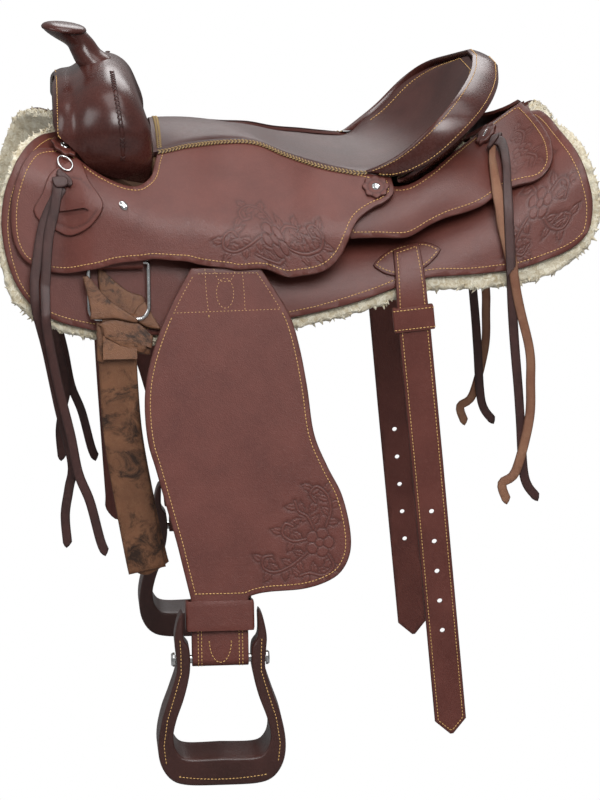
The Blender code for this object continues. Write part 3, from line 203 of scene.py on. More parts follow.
def on_horse(edge=None, hang_x=0, kink=None):
    """Lays x, distance from the spine and lift over the near side, flat past any edge."""

    def place(x, distance, lift):
        start = (0, spine(hang_x if edge and distance >= edge else x))
        runs = side_path(start, TOP_LEAN, 0, SHOULDER_RADIUS, edge, kink)
        y, z = walk(start, TOP_LEAN, runs, distance, lift)
        return Vector((x, -y, z))

    return place


def on_line(table, fold, edge=None, hang_x=0):
    """Lays x, distance from a table's line and lift down the near side, flat past any edge."""

    def place(x, distance, lift):
        y, z, lean, out = along(table, hang_x if edge and distance >= edge else x)
        runs = side_path((y, z), radians(lean), out, fold, edge)
        y, z = walk((y, z), radians(lean), runs, distance, lift)
        return Vector((x, -y, z))

    return place


def to_level(x, z):
    """The distance from the spine to a height on the flank."""
    runs = side_path((0, spine(x)), TOP_LEAN, 0, SHOULDER_RADIUS, None)
    start = sum(run[0] for run in runs[:2])
    foot = walk((0, spine(x)), TOP_LEAN, runs, start, 0)[1]
    return start + (foot - z) / sin(FLANK_LEAN)


def on_flank(level):
    """Lays a flat sheet beside the flank, with its heights given as z at one lift."""

    def place(x, z, lift):
        out = lift - level
        return Vector((x, -flank(level, z) - out * sin(FLANK_LEAN), z + out * cos(FLANK_LEAN)))

    return place


GAP = 0.3
SHEARLING_THICK, SKIRT_THICK, BAR_THICK = 14, 5, 15
LEATHER_THICK, FENDER_THICK = 3.2, 4.5
SKIRT_LIFT = SHEARLING_THICK + 2.5 * GAP
ON_SKIRT = SKIRT_LIFT + SKIRT_THICK + 2 * GAP
STRAP_LIFT = ON_SKIRT + BAR_THICK + 2 * GAP
FENDER_LIFT = STRAP_LIFT + LEATHER_THICK + GAP
UNDER_JOCKEY = FENDER_LIFT + FENDER_THICK + GAP
HORSE = on_horse()
print("lifts", [round(lift, 1) for lift in (SKIRT_LIFT, ON_SKIRT, FENDER_LIFT, UNDER_JOCKEY)])

# %% [markdown]
# Leather is cut with a knife, so its outline is a smooth closed curve with a few true corners. The
# sheet starts as a circle of vertices pulled onto that curve, is extruded to its thickness, inset
# twice for a rounded edge and cut by straight lines, so that it can bend.

# %% Cutting a sheet
def joined(*things):
    """Makes one mesh of several, kept under the first one's name."""
    alone(things[0])
    for thing in things:
        thing.select_set(True)
    bpy.ops.object.join()
    return things[0]


def alone(thing=None):
    """Leaves edit mode and selects one thing, or nothing."""
    if bpy.context.object and bpy.context.object.mode != "OBJECT":
        bpy.ops.object.mode_set(mode="OBJECT")
    bpy.ops.object.select_all(action="DESELECT")
    if thing:
        thing.select_set(True)
        bpy.context.view_layer.objects.active = thing
    return thing


def curve(p0, p1, p2, p3, t):
    """A point between p1 and p2 on a smooth curve through four."""
    return 0.5 * (2 * p1 + (p2 - p0) * t + (2 * p0 - 5 * p1 + 4 * p2 - p3) * t**2
                  + (3 * p1 - p0 - 3 * p2 + p3) * t**3)


def smooth_ring(points, step):
    """Points along a smooth closed outline, with its corners kept, turning to the left."""
    count = len(points)
    flat = [Vector((p[0], p[1])) for p in points]
    sharp = [len(p) > 2 for p in points]
    ring = []
    for i in range(count):
        j = (i + 1) % count
        p1, p2 = flat[i], flat[j]
        p0 = p1 if sharp[i] else flat[i - 1]
        p3 = p2 if sharp[j] else flat[(j + 1) % count]
        steps = max(1, round((p2 - p1).length / step))
        ring += [curve(p0, p1, p2, p3, n / steps) for n in range(steps)]
    area = sum(a.x * b.y - b.x * a.y for a, b in zip(ring, ring[1:] + ring[:1]))
    return ring if area > 0 else ring[::-1]


def smooth_line(points, steps):
    """Points on a smooth curve through the given ones."""
    spots = [Vector(p) for p in points]
    padded = spots[:1] + spots + spots[-1:]
    found = [curve(*padded[i:i + 4], n / steps) for i in range(len(spots) - 1) for n in range(steps)]
    return found + spots[-1:]


CHUNK = 4000


def from_line(spots, line):
    """The distance of each spot from a line of points, in the flat."""
    a = np.array([(p[0], p[1]) for p in line[:-1]])
    b = np.array([(p[0], p[1]) for p in line[1:]])
    ab = b - a
    span = np.maximum((ab**2).sum(1), 1e-9)
    best = np.full(len(spots), 1e9)
    for start in range(0, len(spots), CHUNK):
        part = spots[start:start + CHUNK, None, :]
        t = np.clip(((part - a) * ab).sum(2) / span, 0, 1)
        best[start:start + CHUNK] = np.sqrt(((part - a - t[..., None] * ab) ** 2).sum(2)).min(1)
    return best


def add_values(mesh, name, values):
    layer = mesh.attributes.get(name) or mesh.attributes.new(name, "FLOAT", "POINT")
    layer.data.foreach_set("value", np.asarray(values, np.float32))


def coords(mesh):
    spots = np.zeros(len(mesh.vertices) * 3)
    mesh.vertices.foreach_get("co", spots)
    return spots.reshape(-1, 3)


RIM_REACH, OFF_GRID = 1.3, 0.013


def cut_sheet(name, outline, thick, cell=8.0, edge=1.0, step=5.0, ring=None):
    """A flat sheet of leather in millimetres, with rounded upper edges and lines to bend along."""
    ring = ring or smooth_ring(outline, step)
    alone()
    bpy.ops.mesh.primitive_circle_add(vertices=len(ring), radius=1, fill_type="NGON")
    thing = bpy.context.object
    thing.name = name
    for vert, spot in zip(thing.data.vertices, ring):
        vert.co = (spot.x, spot.y, 0)
    thing.data.update()
    turned = thing.data.polygons[0].normal.z < 0
    bpy.ops.object.mode_set(mode="EDIT")
    bpy.ops.mesh.select_mode(type="FACE")
    bpy.ops.mesh.select_all(action="SELECT")
    if turned:
        bpy.ops.mesh.flip_normals()
    bpy.ops.mesh.extrude_region_move(TRANSFORM_OT_translate={"value": (0, 0, thick - edge)})
    bpy.ops.mesh.inset(thickness=edge * 0.35, depth=edge * 0.65)
    bpy.ops.mesh.inset(thickness=edge * 0.65, depth=edge * 0.35)
    for axis, normal in enumerate(((1, 0, 0), (0, 1, 0))):
        low, high = min(p[axis] for p in ring), max(p[axis] for p in ring)
        count = ceil((high - low) / cell)
        for n in range(1, count):
            at = low + (high - low) * n / count + OFF_GRID
            bpy.ops.mesh.select_all(action="SELECT")
            bpy.ops.mesh.bisect(plane_co=(at, at, 0), plane_no=normal)
    bpy.ops.object.mode_set(mode="OBJECT")
    gap = from_line(coords(thing.data)[:, :2], ring + ring[:1])
    add_values(thing.data, "rim", np.exp(-(gap / RIM_REACH) ** 2))
    thing["ring"] = [c for p in ring for c in p]
    return thing


def lay_on(thing, place, lift=0.0):
    """Moves a flat sheet to its place, with the flat pattern kept as its UV map."""
    mesh = thing.data
    flat = coords(mesh)
    spots = np.array([place(x, y, z + lift) for x, y, z in flat]) * MM
    mesh.vertices.foreach_set("co", spots.ravel())
    layer = mesh.uv_layers.get("UVMap") or mesh.uv_layers.new(name="UVMap")
    corners = np.zeros(len(mesh.loops), int)
    mesh.loops.foreach_get("vertex_index", corners)
    layer.data.foreach_set("uv", (flat[corners, :2] * MM).ravel())
    mesh.update()
    return face_out(thing)


def face_out(thing, angle=40):
    alone(thing)
    bpy.ops.object.mode_set(mode="EDIT")
    bpy.ops.mesh.select_all(action="SELECT")
    bpy.ops.mesh.normals_make_consistent(inside=False)
    bpy.ops.object.mode_set(mode="OBJECT")
    bpy.ops.object.shade_smooth_by_angle(angle=radians(angle))
    return thing


def from_faces(name, spots, faces, angle=40):
    """A piece made of points in metres and faces, smooth up to an angle."""
    mesh = bpy.data.meshes.new(name)
    mesh.from_pydata(spots, [], faces)
    thing = bpy.data.objects.new(name, mesh)
    bpy.context.scene.collection.objects.link(thing)
    return face_out(thing, angle)


def loft(name, rings, angle=50, around=False):
    """A solid run through rings of points in millimetres, with two ends or joined all the way round."""
    rows, count = len(rings), len(rings[0])
    faces = []
    for r in range(rows if around else rows - 1):
        a, b = r * count, (r + 1) % rows * count
        faces += [(a + n, a + (n + 1) % count, b + (n + 1) % count, b + n) for n in range(count)]
    if not around:
        faces += [tuple(range(count)), tuple((rows - 1) * count + n for n in range(count))]
    return from_faces(name, [p * MM for ring in rings for p in ring], faces, angle)


def cut_away(thing, tool):
    """Cuts one piece's room out of another."""
    alone(thing)
    cut = thing.modifiers.new("cut", "BOOLEAN")
    cut.object = tool
    bpy.ops.object.modifier_apply(modifier="cut")
    return thing


def dress(thing, look, body, nodes=()):
    """Gives a finished piece its material, its body and the solids that it stands for."""
    thing.data.materials.clear()
    thing.data.materials.append(look)
    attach(thing, body)
    if nodes:
        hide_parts(*nodes)
    return thing


def other_side(thing, look, body, nodes=()):
    """A mirrored copy for the off side, with its own mesh."""
    name = thing.name.replace("_near", "_off")
    copy = bpy.data.objects.new(name, thing.data.copy())
    copy.data.name = name
    bpy.context.scene.collection.objects.link(copy)
    alone(copy)
    bpy.ops.object.mode_set(mode="EDIT")
    bpy.ops.mesh.select_all(action="SELECT")
    bpy.ops.transform.mirror(constraint_axis=(False, True, False), orient_type="GLOBAL",
                             center_override=(0, 0, 0))
    bpy.ops.mesh.flip_normals()
    bpy.ops.object.mode_set(mode="OBJECT")
    return dress(copy, look, body, nodes)


def off_side_only(thing, look, body, nodes=(), slot=None):
    """Keeps a piece only as its mirrored copy."""
    twin = other_side(thing, look, body, nodes)
    bpy.data.objects.remove(thing)
    return twin


def both_sides(thing, look, body, nodes=()):
    """Dresses a near piece and makes its off side twin; {s} in a name stands for left or right."""
    dress(thing, look, body.format(s="left"), [n.format(s="left") for n in nodes])
    return other_side(thing, look, body.format(s="right"), [n.format(s="right") for n in nodes])

# %% [markdown]
# Leather isn't one flat colour: the dye lies unevenly, the grain has fine pores and cut edges are
# burnished dark, while the tooled grooves and the pressed ground beside them get painted shade. One
# recipe of nodes makes every leather here, on Object coordinates, with the burnish and the painted
# shade of the tooling read from values kept on the mesh.

# %% Leather
def node(tree, kind, **settings):
    made = tree.nodes.new(kind)
    for name, value in settings.items():
        if name in made.inputs:
            made.inputs[name].default_value = value
        else:
            setattr(made, name, value)
    return made


def blend_colour(tree, factor, one, two, how="MIX"):
    mix = tree.nodes.new("ShaderNodeMix")
    mix.data_type = "RGBA"
    mix.blend_type = how
    for socket, value in ((mix.inputs["Factor"], factor), (mix.inputs[6], one), (mix.inputs[7], two)):
        if isinstance(value, (tuple, float, int)):
            socket.default_value = (*value, 1) if isinstance(value, tuple) else value
        else:
            tree.links.new(value, socket)
    return mix.outputs[2]


def spread(tree, value, low, high, to_low=0.0, to_high=1.0):
    made = node(tree, "ShaderNodeMapRange", **{"From Min": low, "From Max": high, "To Min": to_low, "To Max": to_high})
    tree.links.new(value, made.inputs["Value"])
    return made.outputs["Result"]


def fresh(name):
    """A new material: its look, node tree, shader and Object coordinates."""
    look = bpy.data.materials.new(name)
    look.use_nodes = True
    tree = look.node_tree
    return look, tree, tree.nodes["Principled BSDF"], node(tree, "ShaderNodeTexCoord").outputs["Object"]


def leather(name, colour, deep, pale, rough=(0.42, 0.55), grain=0.25, coat=0.0, wear=0.0):
    look, tree, shader, place = fresh(name)
    clouds = node(tree, "ShaderNodeTexNoise", Scale=22.0, Detail=5.0, Roughness=0.6)
    fine = node(tree, "ShaderNodeTexNoise", Scale=260.0, Detail=4.0, Roughness=0.65)
    pores = node(tree, "ShaderNodeTexVoronoi", Scale=950.0)
    for made in (clouds, fine, pores):
        tree.links.new(place, made.inputs["Vector"])
    rim = node(tree, "ShaderNodeAttribute", attribute_name="rim").outputs["Fac"]
    carve = node(tree, "ShaderNodeAttribute", attribute_name="carve").outputs["Fac"]
    body = blend_colour(tree, spread(tree, clouds.outputs["Fac"], 0.35, 0.68), deep, colour)
    body = blend_colour(tree, spread(tree, fine.outputs["Fac"], 0.5, 0.8, 0.0, 0.35), body, pale)
    if wear:
        patches = node(tree, "ShaderNodeTexNoise", Scale=34.0, Detail=8.0, Roughness=0.72, Distortion=0.6)
        tree.links.new(place, patches.inputs["Vector"])
        worn = spread(tree, patches.outputs["Fac"], 0.49, 0.62, 0.0, wear)
        body = blend_colour(tree, worn, body, tuple(c * 0.16 for c in deep))
    # Painted shade darkens the tooled grooves and pressed ground (carve); the burnish darkens cut edges (rim).
    for value, low, most, dark in ((carve, 0.0, 0.72, 0.42), (rim, 0.25, 0.7, 0.4)):
        body = blend_colour(tree, spread(tree, value, low, 1.0, 0.0, most), body, tuple(c * dark for c in deep))
    tree.links.new(body, shader.inputs["Base Color"])
    tree.links.new(spread(tree, fine.outputs["Fac"], 0.3, 0.75, *rough), shader.inputs["Roughness"])
    height = node(tree, "ShaderNodeMath", operation="ADD")
    tree.links.new(pores.outputs["Distance"], height.inputs[0])
    tree.links.new(fine.outputs["Fac"], height.inputs[1])
    bump = node(tree, "ShaderNodeBump", Strength=grain, Distance=0.0006)
    tree.links.new(height.outputs[0], bump.inputs["Height"])
    tree.links.new(bump.outputs["Normal"], shader.inputs["Normal"])
    for socket, value in (("Coat Weight", coat), ("Coat Roughness", 0.25), ("Specular IOR Level", 0.45)):
        shader.inputs[socket].default_value = value
    return look


russet = leather("russet_bridle_leather", (0.15, 0.042, 0.031), (0.115, 0.03, 0.022), (0.2, 0.07, 0.053),
                 rough=(0.38, 0.5))
glazed = leather("glazed_swell_leather", (0.085, 0.024, 0.018), (0.05, 0.014, 0.011), (0.11, 0.038, 0.03),
                 rough=(0.24, 0.32), grain=0.035, coat=0.25)
seat_look = leather("seat_leather", (0.082, 0.03, 0.025), (0.056, 0.02, 0.017), (0.11, 0.05, 0.043),
                    rough=(0.38, 0.5), grain=0.3)
stirrup_look = leather("stirrup_leather_wrap", (0.06, 0.02, 0.016), (0.04, 0.013, 0.01), (0.09, 0.035, 0.028),
                       rough=(0.32, 0.44), grain=0.2, coat=0.1)
lace_look = leather("lace_leather", (0.075, 0.028, 0.024), (0.045, 0.018, 0.016), (0.11, 0.05, 0.042))
flesh_look = leather("lace_flesh_side", (0.3, 0.15, 0.085), (0.22, 0.09, 0.05), (0.38, 0.22, 0.14),
                     rough=(0.6, 0.75))
latigo_look = leather("worn_latigo_leather", (0.23, 0.1, 0.048), (0.15, 0.062, 0.03), (0.3, 0.16, 0.08),
                      rough=(0.4, 0.6), grain=0.5, wear=0.95)
backing = leather("rough_leather", (0.3, 0.17, 0.09), (0.22, 0.12, 0.06), (0.4, 0.26, 0.16),
                  rough=(0.7, 0.85))


def plain(name, colour, rough, metallic=0.0, noise=0.0, scale=300.0):
    look, tree, shader, place = fresh(name)
    spots = node(tree, "ShaderNodeTexNoise", Scale=scale, Detail=4.0)
    tree.links.new(place, spots.inputs["Vector"])
    dark = tuple(c * (1 - noise) for c in colour)
    tint = blend_colour(tree, spread(tree, spots.outputs["Fac"], 0.3, 0.7), dark, colour)
    tree.links.new(tint, shader.inputs["Base Color"])
    tree.links.new(spread(tree, spots.outputs["Fac"], 0.3, 0.7, rough, rough + 0.12), shader.inputs["Roughness"])
    shader.inputs["Metallic"].default_value = metallic
    return look


thread = plain("gold_thread", (0.78, 0.47, 0.17), 0.5, noise=0.25, scale=1500.0)
cord_thread = plain("rope_thread", (0.46, 0.31, 0.13), 0.6, noise=0.4, scale=1200.0)
steel = plain("stainless_steel", (0.72, 0.72, 0.72), 0.14, metallic=1.0, noise=0.06)
wood = plain("tree_wood", (0.13, 0.07, 0.042), 0.6, noise=0.35, scale=60.0)
print("materials", len(bpy.data.materials))

# %% [markdown]
# The fleece is a clipped woolskin: a cream pile with soft tufts that part along the edge. Its
# colour is yellower and painted darker where the tufts dip: painted shade deep in the pile. Sheen
# gives the wool its pale rim.

# %% Wool
wool, tree, shader, place = fresh("shearling_wool")
tufts = node(tree, "ShaderNodeTexNoise", Scale=140.0, Detail=6.0, Roughness=0.7, Distortion=1.2)
tree.links.new(place, tufts.inputs["Vector"])
# Low parts of the tuft noise get a darker, yellower colour: painted shade between the tufts, with a yellower tint.
pile_shade_and_tint = spread(tree, tufts.outputs["Fac"], 0.34, 0.62)
tree.links.new(blend_colour(tree, pile_shade_and_tint, (0.5, 0.4, 0.24), (0.86, 0.81, 0.66)), shader.inputs["Base Color"])
bump = node(tree, "ShaderNodeBump", Strength=0.7, Distance=0.002)
tree.links.new(tufts.outputs["Fac"], bump.inputs["Height"])
tree.links.new(bump.outputs["Normal"], shader.inputs["Normal"])
shader.inputs["Roughness"].default_value = 0.95
shader.inputs["Sheen Weight"].default_value = 0.3

# %% [markdown]
# The corners of the big leathers are carved in the old floral way: a flower, scrolling stems and
# leaves, cut as fine grooves with the ground beside them pressed down. The carving is done in the
# flat, on a patch of finer faces.

# %% Floral carving
CARVE_REACH, HEART_SHARE, PETALS = 20, 0.3, 2.5
STEM_HALF, LEAF_PITCH, LEAF_LEAN, LEAF_LONG, LEAF_HALF = 1.7, 9, 0.85, 15, 4.4


def finer(thing, low, high, cuts=7):
    """Subdivides the upper faces of a flat sheet inside a box."""
    mesh = thing.data
    top = max(v.co.z for v in mesh.vertices) * 0.95
    chosen = [poly.normal.z > 0.9 and poly.center.z > top and low[0] < poly.center.x < high[0]
              and low[1] < poly.center.y < high[1] for poly in mesh.polygons]
    alone(thing)
    mesh.vertices.foreach_set("select", [False] * len(mesh.vertices))
    mesh.edges.foreach_set("select", [False] * len(mesh.edges))
    mesh.polygons.foreach_set("select", chosen)
    bpy.context.tool_settings.mesh_select_mode = (False, False, True)
    bpy.ops.object.mode_set(mode="EDIT")
    bpy.ops.mesh.subdivide(number_cuts=cuts)
    bpy.ops.object.mode_set(mode="OBJECT")


def carve(thing, flower, radius, stems, depth=0.55, strength=1.0):
    """Carves a flower and leafy stems into the upper skin of a flat sheet."""
    points = [p for stem in stems for p in stem] + [flower]
    finer(thing, [min(p[k] for p in points) - CARVE_REACH for k in (0, 1)],
          [max(p[k] for p in points) + CARVE_REACH for k in (0, 1)])
    mesh = thing.data
    spots = coords(mesh)
    flat = spots[:, :2]
    groove, inside, near = np.zeros(len(flat)), np.zeros(len(flat), bool), np.full(len(flat), 99.0)

    def add(gap, wide):
        """Adds a shape by its signed gap to the edge, positive inside."""
        nonlocal groove, inside, near
        groove = np.where(inside, groove, np.maximum(groove, np.exp(-(gap / wide) ** 2)))
        inside = inside | (gap > 0)
        near = np.minimum(near, np.maximum(-gap, 0))

    off = flat - np.array(flower)
    away, turn = np.hypot(off[:, 0], off[:, 1]), np.arctan2(off[:, 1], off[:, 0])
    heart, wave = radius * HEART_SHARE, np.abs(np.cos(PETALS * turn))
    petal = radius * (0.66 + 0.34 * wave ** 0.6)
    add(heart - away, 0.7)
    folds = np.where((away < petal) & (away > heart), np.exp(-(away * wave / 2.2) ** 2), 0)
    groove = np.maximum(groove, folds)
    inside = away < radius * 0.34
    add(petal - away, 0.75)
    for stem in stems:
        line = smooth_line(stem, 6)
        add(STEM_HALF - from_line(flat, line), 0.7)
        for n, (spot, way) in enumerate(stepped([Vector((*p, 0)) for p in line], LEAF_PITCH)):
            side = 1 if n % 2 else -1
            lean = atan2(way.y, way.x) + side * LEAF_LEAN
            go = np.array([cos(lean), sin(lean)])
            rel = flat - np.array([spot.x, spot.y])
            s = rel @ go / LEAF_LONG
            w = rel @ np.array([-go[1], go[0]]) - side * 3.0 * s**2
            half = LEAF_HALF * np.sin(pi * np.clip(s, 0, 1) ** 0.75) * (1 + 0.16 * np.sin(22 * s))
            past = np.hypot(np.where(s < 0, s, s - 1) * LEAF_LONG, w)
            vein = np.where((s > 0.15) & (s < 0.85) & ~inside, np.exp(-(w / 0.55) ** 2) * 0.7, 0)
            add(np.where((s > 0) & (s < 1), half - np.abs(w), -past), 0.7)
            groove = np.maximum(groove, vein)
    ground = np.where(inside, 0, np.exp(-(near / 2.6) ** 2)) * 0.5
    top = spots[:, 2] > spots[:, 2].max() * 0.95
    value = np.where(top, np.clip(np.maximum(groove, ground) * strength, 0, 1), 0)
    spots[:, 2] -= value * depth
    mesh.vertices.foreach_set("co", spots.ravel())
    # The carving's values also paint shade into the grooves and the pressed ground, through the leather's colour.
    add_values(mesh, "carve", value)

# %% [markdown]
# Heavy thread is sewn in even steps. One stitch is a small rounded bar; copies of it follow a line
# along the leather, each turned to the line and seated on the nearest spot of the surface.

# %% Sewing
def taken(thing):
    """The points and faces of a thing that is then thrown away."""
    found = coords(thing.data), [list(face.vertices) for face in thing.data.polygons]
    bpy.data.objects.remove(thing)
    return found


alone()
bpy.ops.mesh.primitive_uv_sphere_add(segments=6, ring_count=4, radius=1)
BAR_SPOTS, BAR_FACES = taken(bpy.context.object)
BAR_SPOTS = BAR_SPOTS[:, [2, 0, 1]]


def stepped(points, pitch):
    """Points every pitch millimetres along a line of points, with the direction at each."""
    spots = [Vector(p) for p in points]
    found, left = [], pitch / 2
    for a, b in zip(spots, spots[1:]):
        length = (b - a).length
        while left <= length and length > 0:
            found.append((a.lerp(b, left / length), (b - a).normalized()))
            left += pitch
        left -= length
    return found


def sew(name, carrier, seams, pitch=4.2, long=3.2, wide=1.25, lean=0.0, lift=0.3, gauge=0.65):
    """Rows of stitches along lines near a carrier's surface, in millimetres."""
    mesh = carrier.data
    tree = BVHTree.FromPolygons([v.co for v in mesh.vertices], [f.vertices for f in mesh.polygons])
    spots, faces = [], []
    for seam in seams:
        for spot, ahead in stepped(seam, pitch):
            near, normal, _, _ = tree.find_nearest(spot * MM)
            if near is None:
                continue
            out = normal.normalized()
            go = (ahead - out * ahead.dot(out)).normalized()
            if lean:
                go = Matrix.Rotation(lean, 3, out) @ go
            side = out.cross(go)
            base = len(spots)
            for u, v, w in BAR_SPOTS:
                high = w * gauge + lift
                spots.append(near + (go * (u * long / 2) + side * (v * wide / 2) + out * high) * MM)
            faces += [[base + i for i in face] for face in BAR_FACES]
    thing = from_faces(name, spots, faces, 80)
    thing["stitches"] = len(faces) // len(BAR_FACES)
    return thing


def seam_in(thing_ring, inset, place, lift):
    """A closed line at a distance inside a sheet's outline, laid with the sheet, in millimetres."""
    ring = [Vector((thing_ring[i], thing_ring[i + 1])) for i in range(0, len(thing_ring), 2)]
    count = len(ring)
    line = []
    for i in range(count):
        way = (ring[(i + 1) % count] - ring[i - 1]).normalized()
        line.append(ring[i] + Vector((-way.y, way.x)) * inset)
    keep = from_line(np.array([(p.x, p.y) for p in line]), ring + ring[:1]) > inset * 0.93
    return [place(*line[i % count], lift) for i in range(count + 1) if keep[i % count]]


def thread_both(thing, body):
    """Stitches ride with their leather on both sides."""
    both_sides(thing, thread, body)
    print(thing.name, thing["stitches"], "stitches a side")

# %% [markdown]
# The woolskin lining is the layer next to the horse. It is cut like the skirt but a finger wider,
# so its pile shows as a ragged cream edge all round. The sheet is thick with a round edge, its
# skin is pushed in and out by noise, and small curls of wool are set along the edge.

# %% Shearling
SHEARLING = [
    (-300, 46, CORNER), (-322, 94), (-345, 137), (-362, 191), (-368, 250), (-358, 305),
    (-335, 321), (-300, 317), (-270, 308), (-181, 279), (-100, 251), (-22, 230), (68, 213),
    (136, 207), (200, 228), (270, 251), (316, 253), (338, 240), (346, 215), (343, 185),
    (333, 150), (322, 116), (308, 74), (300, 45), (292, 6, CORNER), (230, 12), (100, 32),
    (0, 38), (-150, 42),
]


def fluff(thing, name, scale, strength, levels):
    fine = thing.modifiers.new("finer", "SUBSURF")
    fine.levels = fine.render_levels = levels
    cloud = bpy.data.textures.new(name, "CLOUDS")
    cloud.noise_scale = scale
    cloud.noise_depth = 3
    push = thing.modifiers.new("pile", "DISPLACE")
    push.texture = cloud
    push.texture_coords = "LOCAL"
    push.strength = strength
    push.mid_level = 0.62
    alone(thing)
    for change in ("finer", "pile"):
        bpy.ops.object.modifier_apply(modifier=change)


shearling = cut_sheet("shearling_near", SHEARLING, SHEARLING_THICK - 1.5, cell=7, edge=5)
lay_on(shearling, HORSE, 0.8)
fluff(shearling, "pile_clouds", 0.011, 0.0075, 1)

rng = np.random.default_rng(7)
bpy.ops.mesh.primitive_cone_add(vertices=5, radius1=1, radius2=0.12, depth=2)
cone = alone(bpy.context.object)
bpy.ops.object.mode_set(mode="EDIT")
bpy.ops.mesh.select_all(action="SELECT")
bpy.ops.mesh.subdivide(number_cuts=2)
bpy.ops.object.mode_set(mode="OBJECT")
CURL_SPOTS, CURL_FACES = taken(cone)


def curls(name, outline, count):
    """Small bent tufts of wool set round the edge of the lining."""
    ring = smooth_ring(outline, 4.0)
    spots, faces = [], []
    for _ in range(count):
        i = int(rng.integers(len(ring)))
        way = (ring[(i + 1) % len(ring)] - ring[i - 1]).normalized()
        out = Vector((way.y, -way.x))
        root = ring[i] - out * rng.uniform(2.0, 8.0) + way * rng.uniform(-2, 2)
        high = rng.uniform(3.5, 11.5)
        a, b, c = HORSE(*root, high), HORSE(*(root + out * 4), high), HORSE(*root, high + 4)
        go = (b - a).normalized() + (c - a).normalized() * rng.uniform(-0.5, 0.45)
        go += Vector(rng.uniform(-0.5, 0.5, 3))
        go.normalize()
        side = go.cross((c - a).normalized()).normalized()
        up = side.cross(go)
        long, thick, bend = rng.uniform(4.5, 7.5), rng.uniform(1.8, 3.2), rng.uniform(-0.5, 0.5)
        base = len(spots)
        for u, v, w in CURL_SPOTS:
            t = (w + 1) / 2
            spots.append((a + go * (t * long) + side * (u * thick + bend * t * t * 5) + up * (v * thick)) * MM)
        faces += [[base + k for k in face] for face in CURL_FACES]
    return from_faces(name, spots, faces, 80)


joined(shearling, curls("shearling_curls_near", SHEARLING, 520))
both_sides(shearling, wool, "saddle", ["shearling_{s}"])
print("shearling faces", len(shearling.data.polygons))

# %% [markdown]
# The skirt is the broad leather on the woolskin. It carries a row of gold stitches along its edge.

# %% Skirt
SKIRT = [
    (-298, 75, CORNER), (-315, 102), (-332, 129), (-347, 158), (-357, 188), (-362, 220),
    (-362, 244), (-357, 270), (-347, 292), (-330, 305), (-310, 307), (-270, 297), (-181, 266),
    (-105, 240), (-27, 217), (68, 199), (135, 192), (206, 211), (240, 223), (270, 230),
    (300, 236), (319, 235), (329, 227), (333, 208), (332, 188), (326, 161), (316, 133),
    (305, 104), (296, 60), (288, 34), (278, 22, CORNER), (276, 6, CORNER), (230, 12),
    (100, 32), (0, 40), (-150, 46), (-290, 54, CORNER),
]
skirt = cut_sheet("skirt_near", SKIRT, SKIRT_THICK)
skirt_ring = list(skirt["ring"])
carve(skirt, (270, 165), 15, [
    [(266, 150), (258, 132), (262, 116), (276, 112), (280, 122), (272, 126)],
    [(274, 180), (282, 196), (296, 206), (306, 198), (300, 190)],
    [(256, 172), (244, 184), (238, 200), (248, 210), (256, 202)],
    [(284, 158), (296, 152), (304, 160), (300, 172)],
])
lay_on(skirt, HORSE, SKIRT_LIFT)
both_sides(skirt, russet, "saddle", ["skirt_{s}"])
row = seam_in(skirt_ring, 7.5, HORSE, SKIRT_LIFT + SKIRT_THICK)
thread_both(sew("skirt_stitches_near", skirt, [row]), "saddle")

# %% [markdown]
# Each jockey hangs over the skirt from the edge of the seat. Its line down the seat gives where it
# starts and how steeply, and from there it bends down to the flank.

# %% Jockeys
SEAT_JOCKEY_LINE = [
    (-360, 60, 122, 24, 24.3), (-290, 70, 92, 24, 26), (-265, 78, 86, 27, 35.5), (-240, 86, 82, 31, 39),
    (-184, 100, 71, 38, UNDER_JOCKEY), (-141, 86, 74, 36, UNDER_JOCKEY), (-95, 64, 73, 32, UNDER_JOCKEY),
    (-59, 64, 71, 32, UNDER_JOCKEY), (-25, 89, 61, 36, UNDER_JOCKEY), (9, 114, 54, 39, UNDER_JOCKEY),
    (38, 127, 49, 44, UNDER_JOCKEY), (68, 137, 45, 46, 42.5), (110, 143, 49, 46, 39),
]
BACK_JOCKEY_LINE = [
    (30, 118, 42, 40, 26.5), (68, 131, 34, 44, 26.5), (110, 144, 30.5, 44, 25.5), (140, 140, 45, 38, 24),
    (170, 121, 63, 34, 22), (200, 84, 76, 28, 21), (228, 34, 83, 24, ON_SKIRT + 1),
    (260, 8, 99, 24, ON_SKIRT + 1), (330, 8, 145, 24, ON_SKIRT + 1),
]
SEAT_JOCKEY = [
    (-302, 56), (-322, 73), (-336, 98), (-346, 127), (-351, 157), (-350, 187), (-342, 205),
    (-329, 212), (-306, 210), (-280, 201), (-253, 188), (-226, 171), (-200, 158), (-181, 153),
    (-154, 163), (-135, 174), (-108, 188), (-81, 196), (-41, 186), (-14, 166), (7, 149),
    (20, 135), (31, 118), (40, 97), (48, 77), (57, 63), (71, 50), (85, 43), (96, 31),
    (94, 10, CORNER), (64, 2), (36, 2), (8, 2), (-25, 2), (-58, 2), (-95, 2), (-139, 2),
    (-176, 2, CORNER), (-182, 25), (-188, 48), (-206, 69), (-229, 75), (-251, 70),
    (-268, 59), (-279, 47), (-290, 46),
]
BACK_JOCKEY = [
    (226, 2, CORNER), (268, 2, CORNER), (276, 31), (284, 69), (289, 103), (289, 131),
    (286, 146), (277, 155), (263, 155), (240, 140), (216, 120), (152, 68), (103, 65),
    (62, 76), (44, 84, CORNER), (36, 60, CORNER), (44, 4, CORNER), (110, 2), (170, 2),
]
SEAT_SIDE = on_line(SEAT_JOCKEY_LINE, 60)
BACK_SIDE = on_line(BACK_JOCKEY_LINE, 75)
JOCKEY_THICK, BACK_THICK, JOCKEY_SEAM = 4.5, 4, 6.5
back_jockey = cut_sheet("back_jockey_near", BACK_JOCKEY, BACK_THICK)
back_ring = list(back_jockey["ring"])
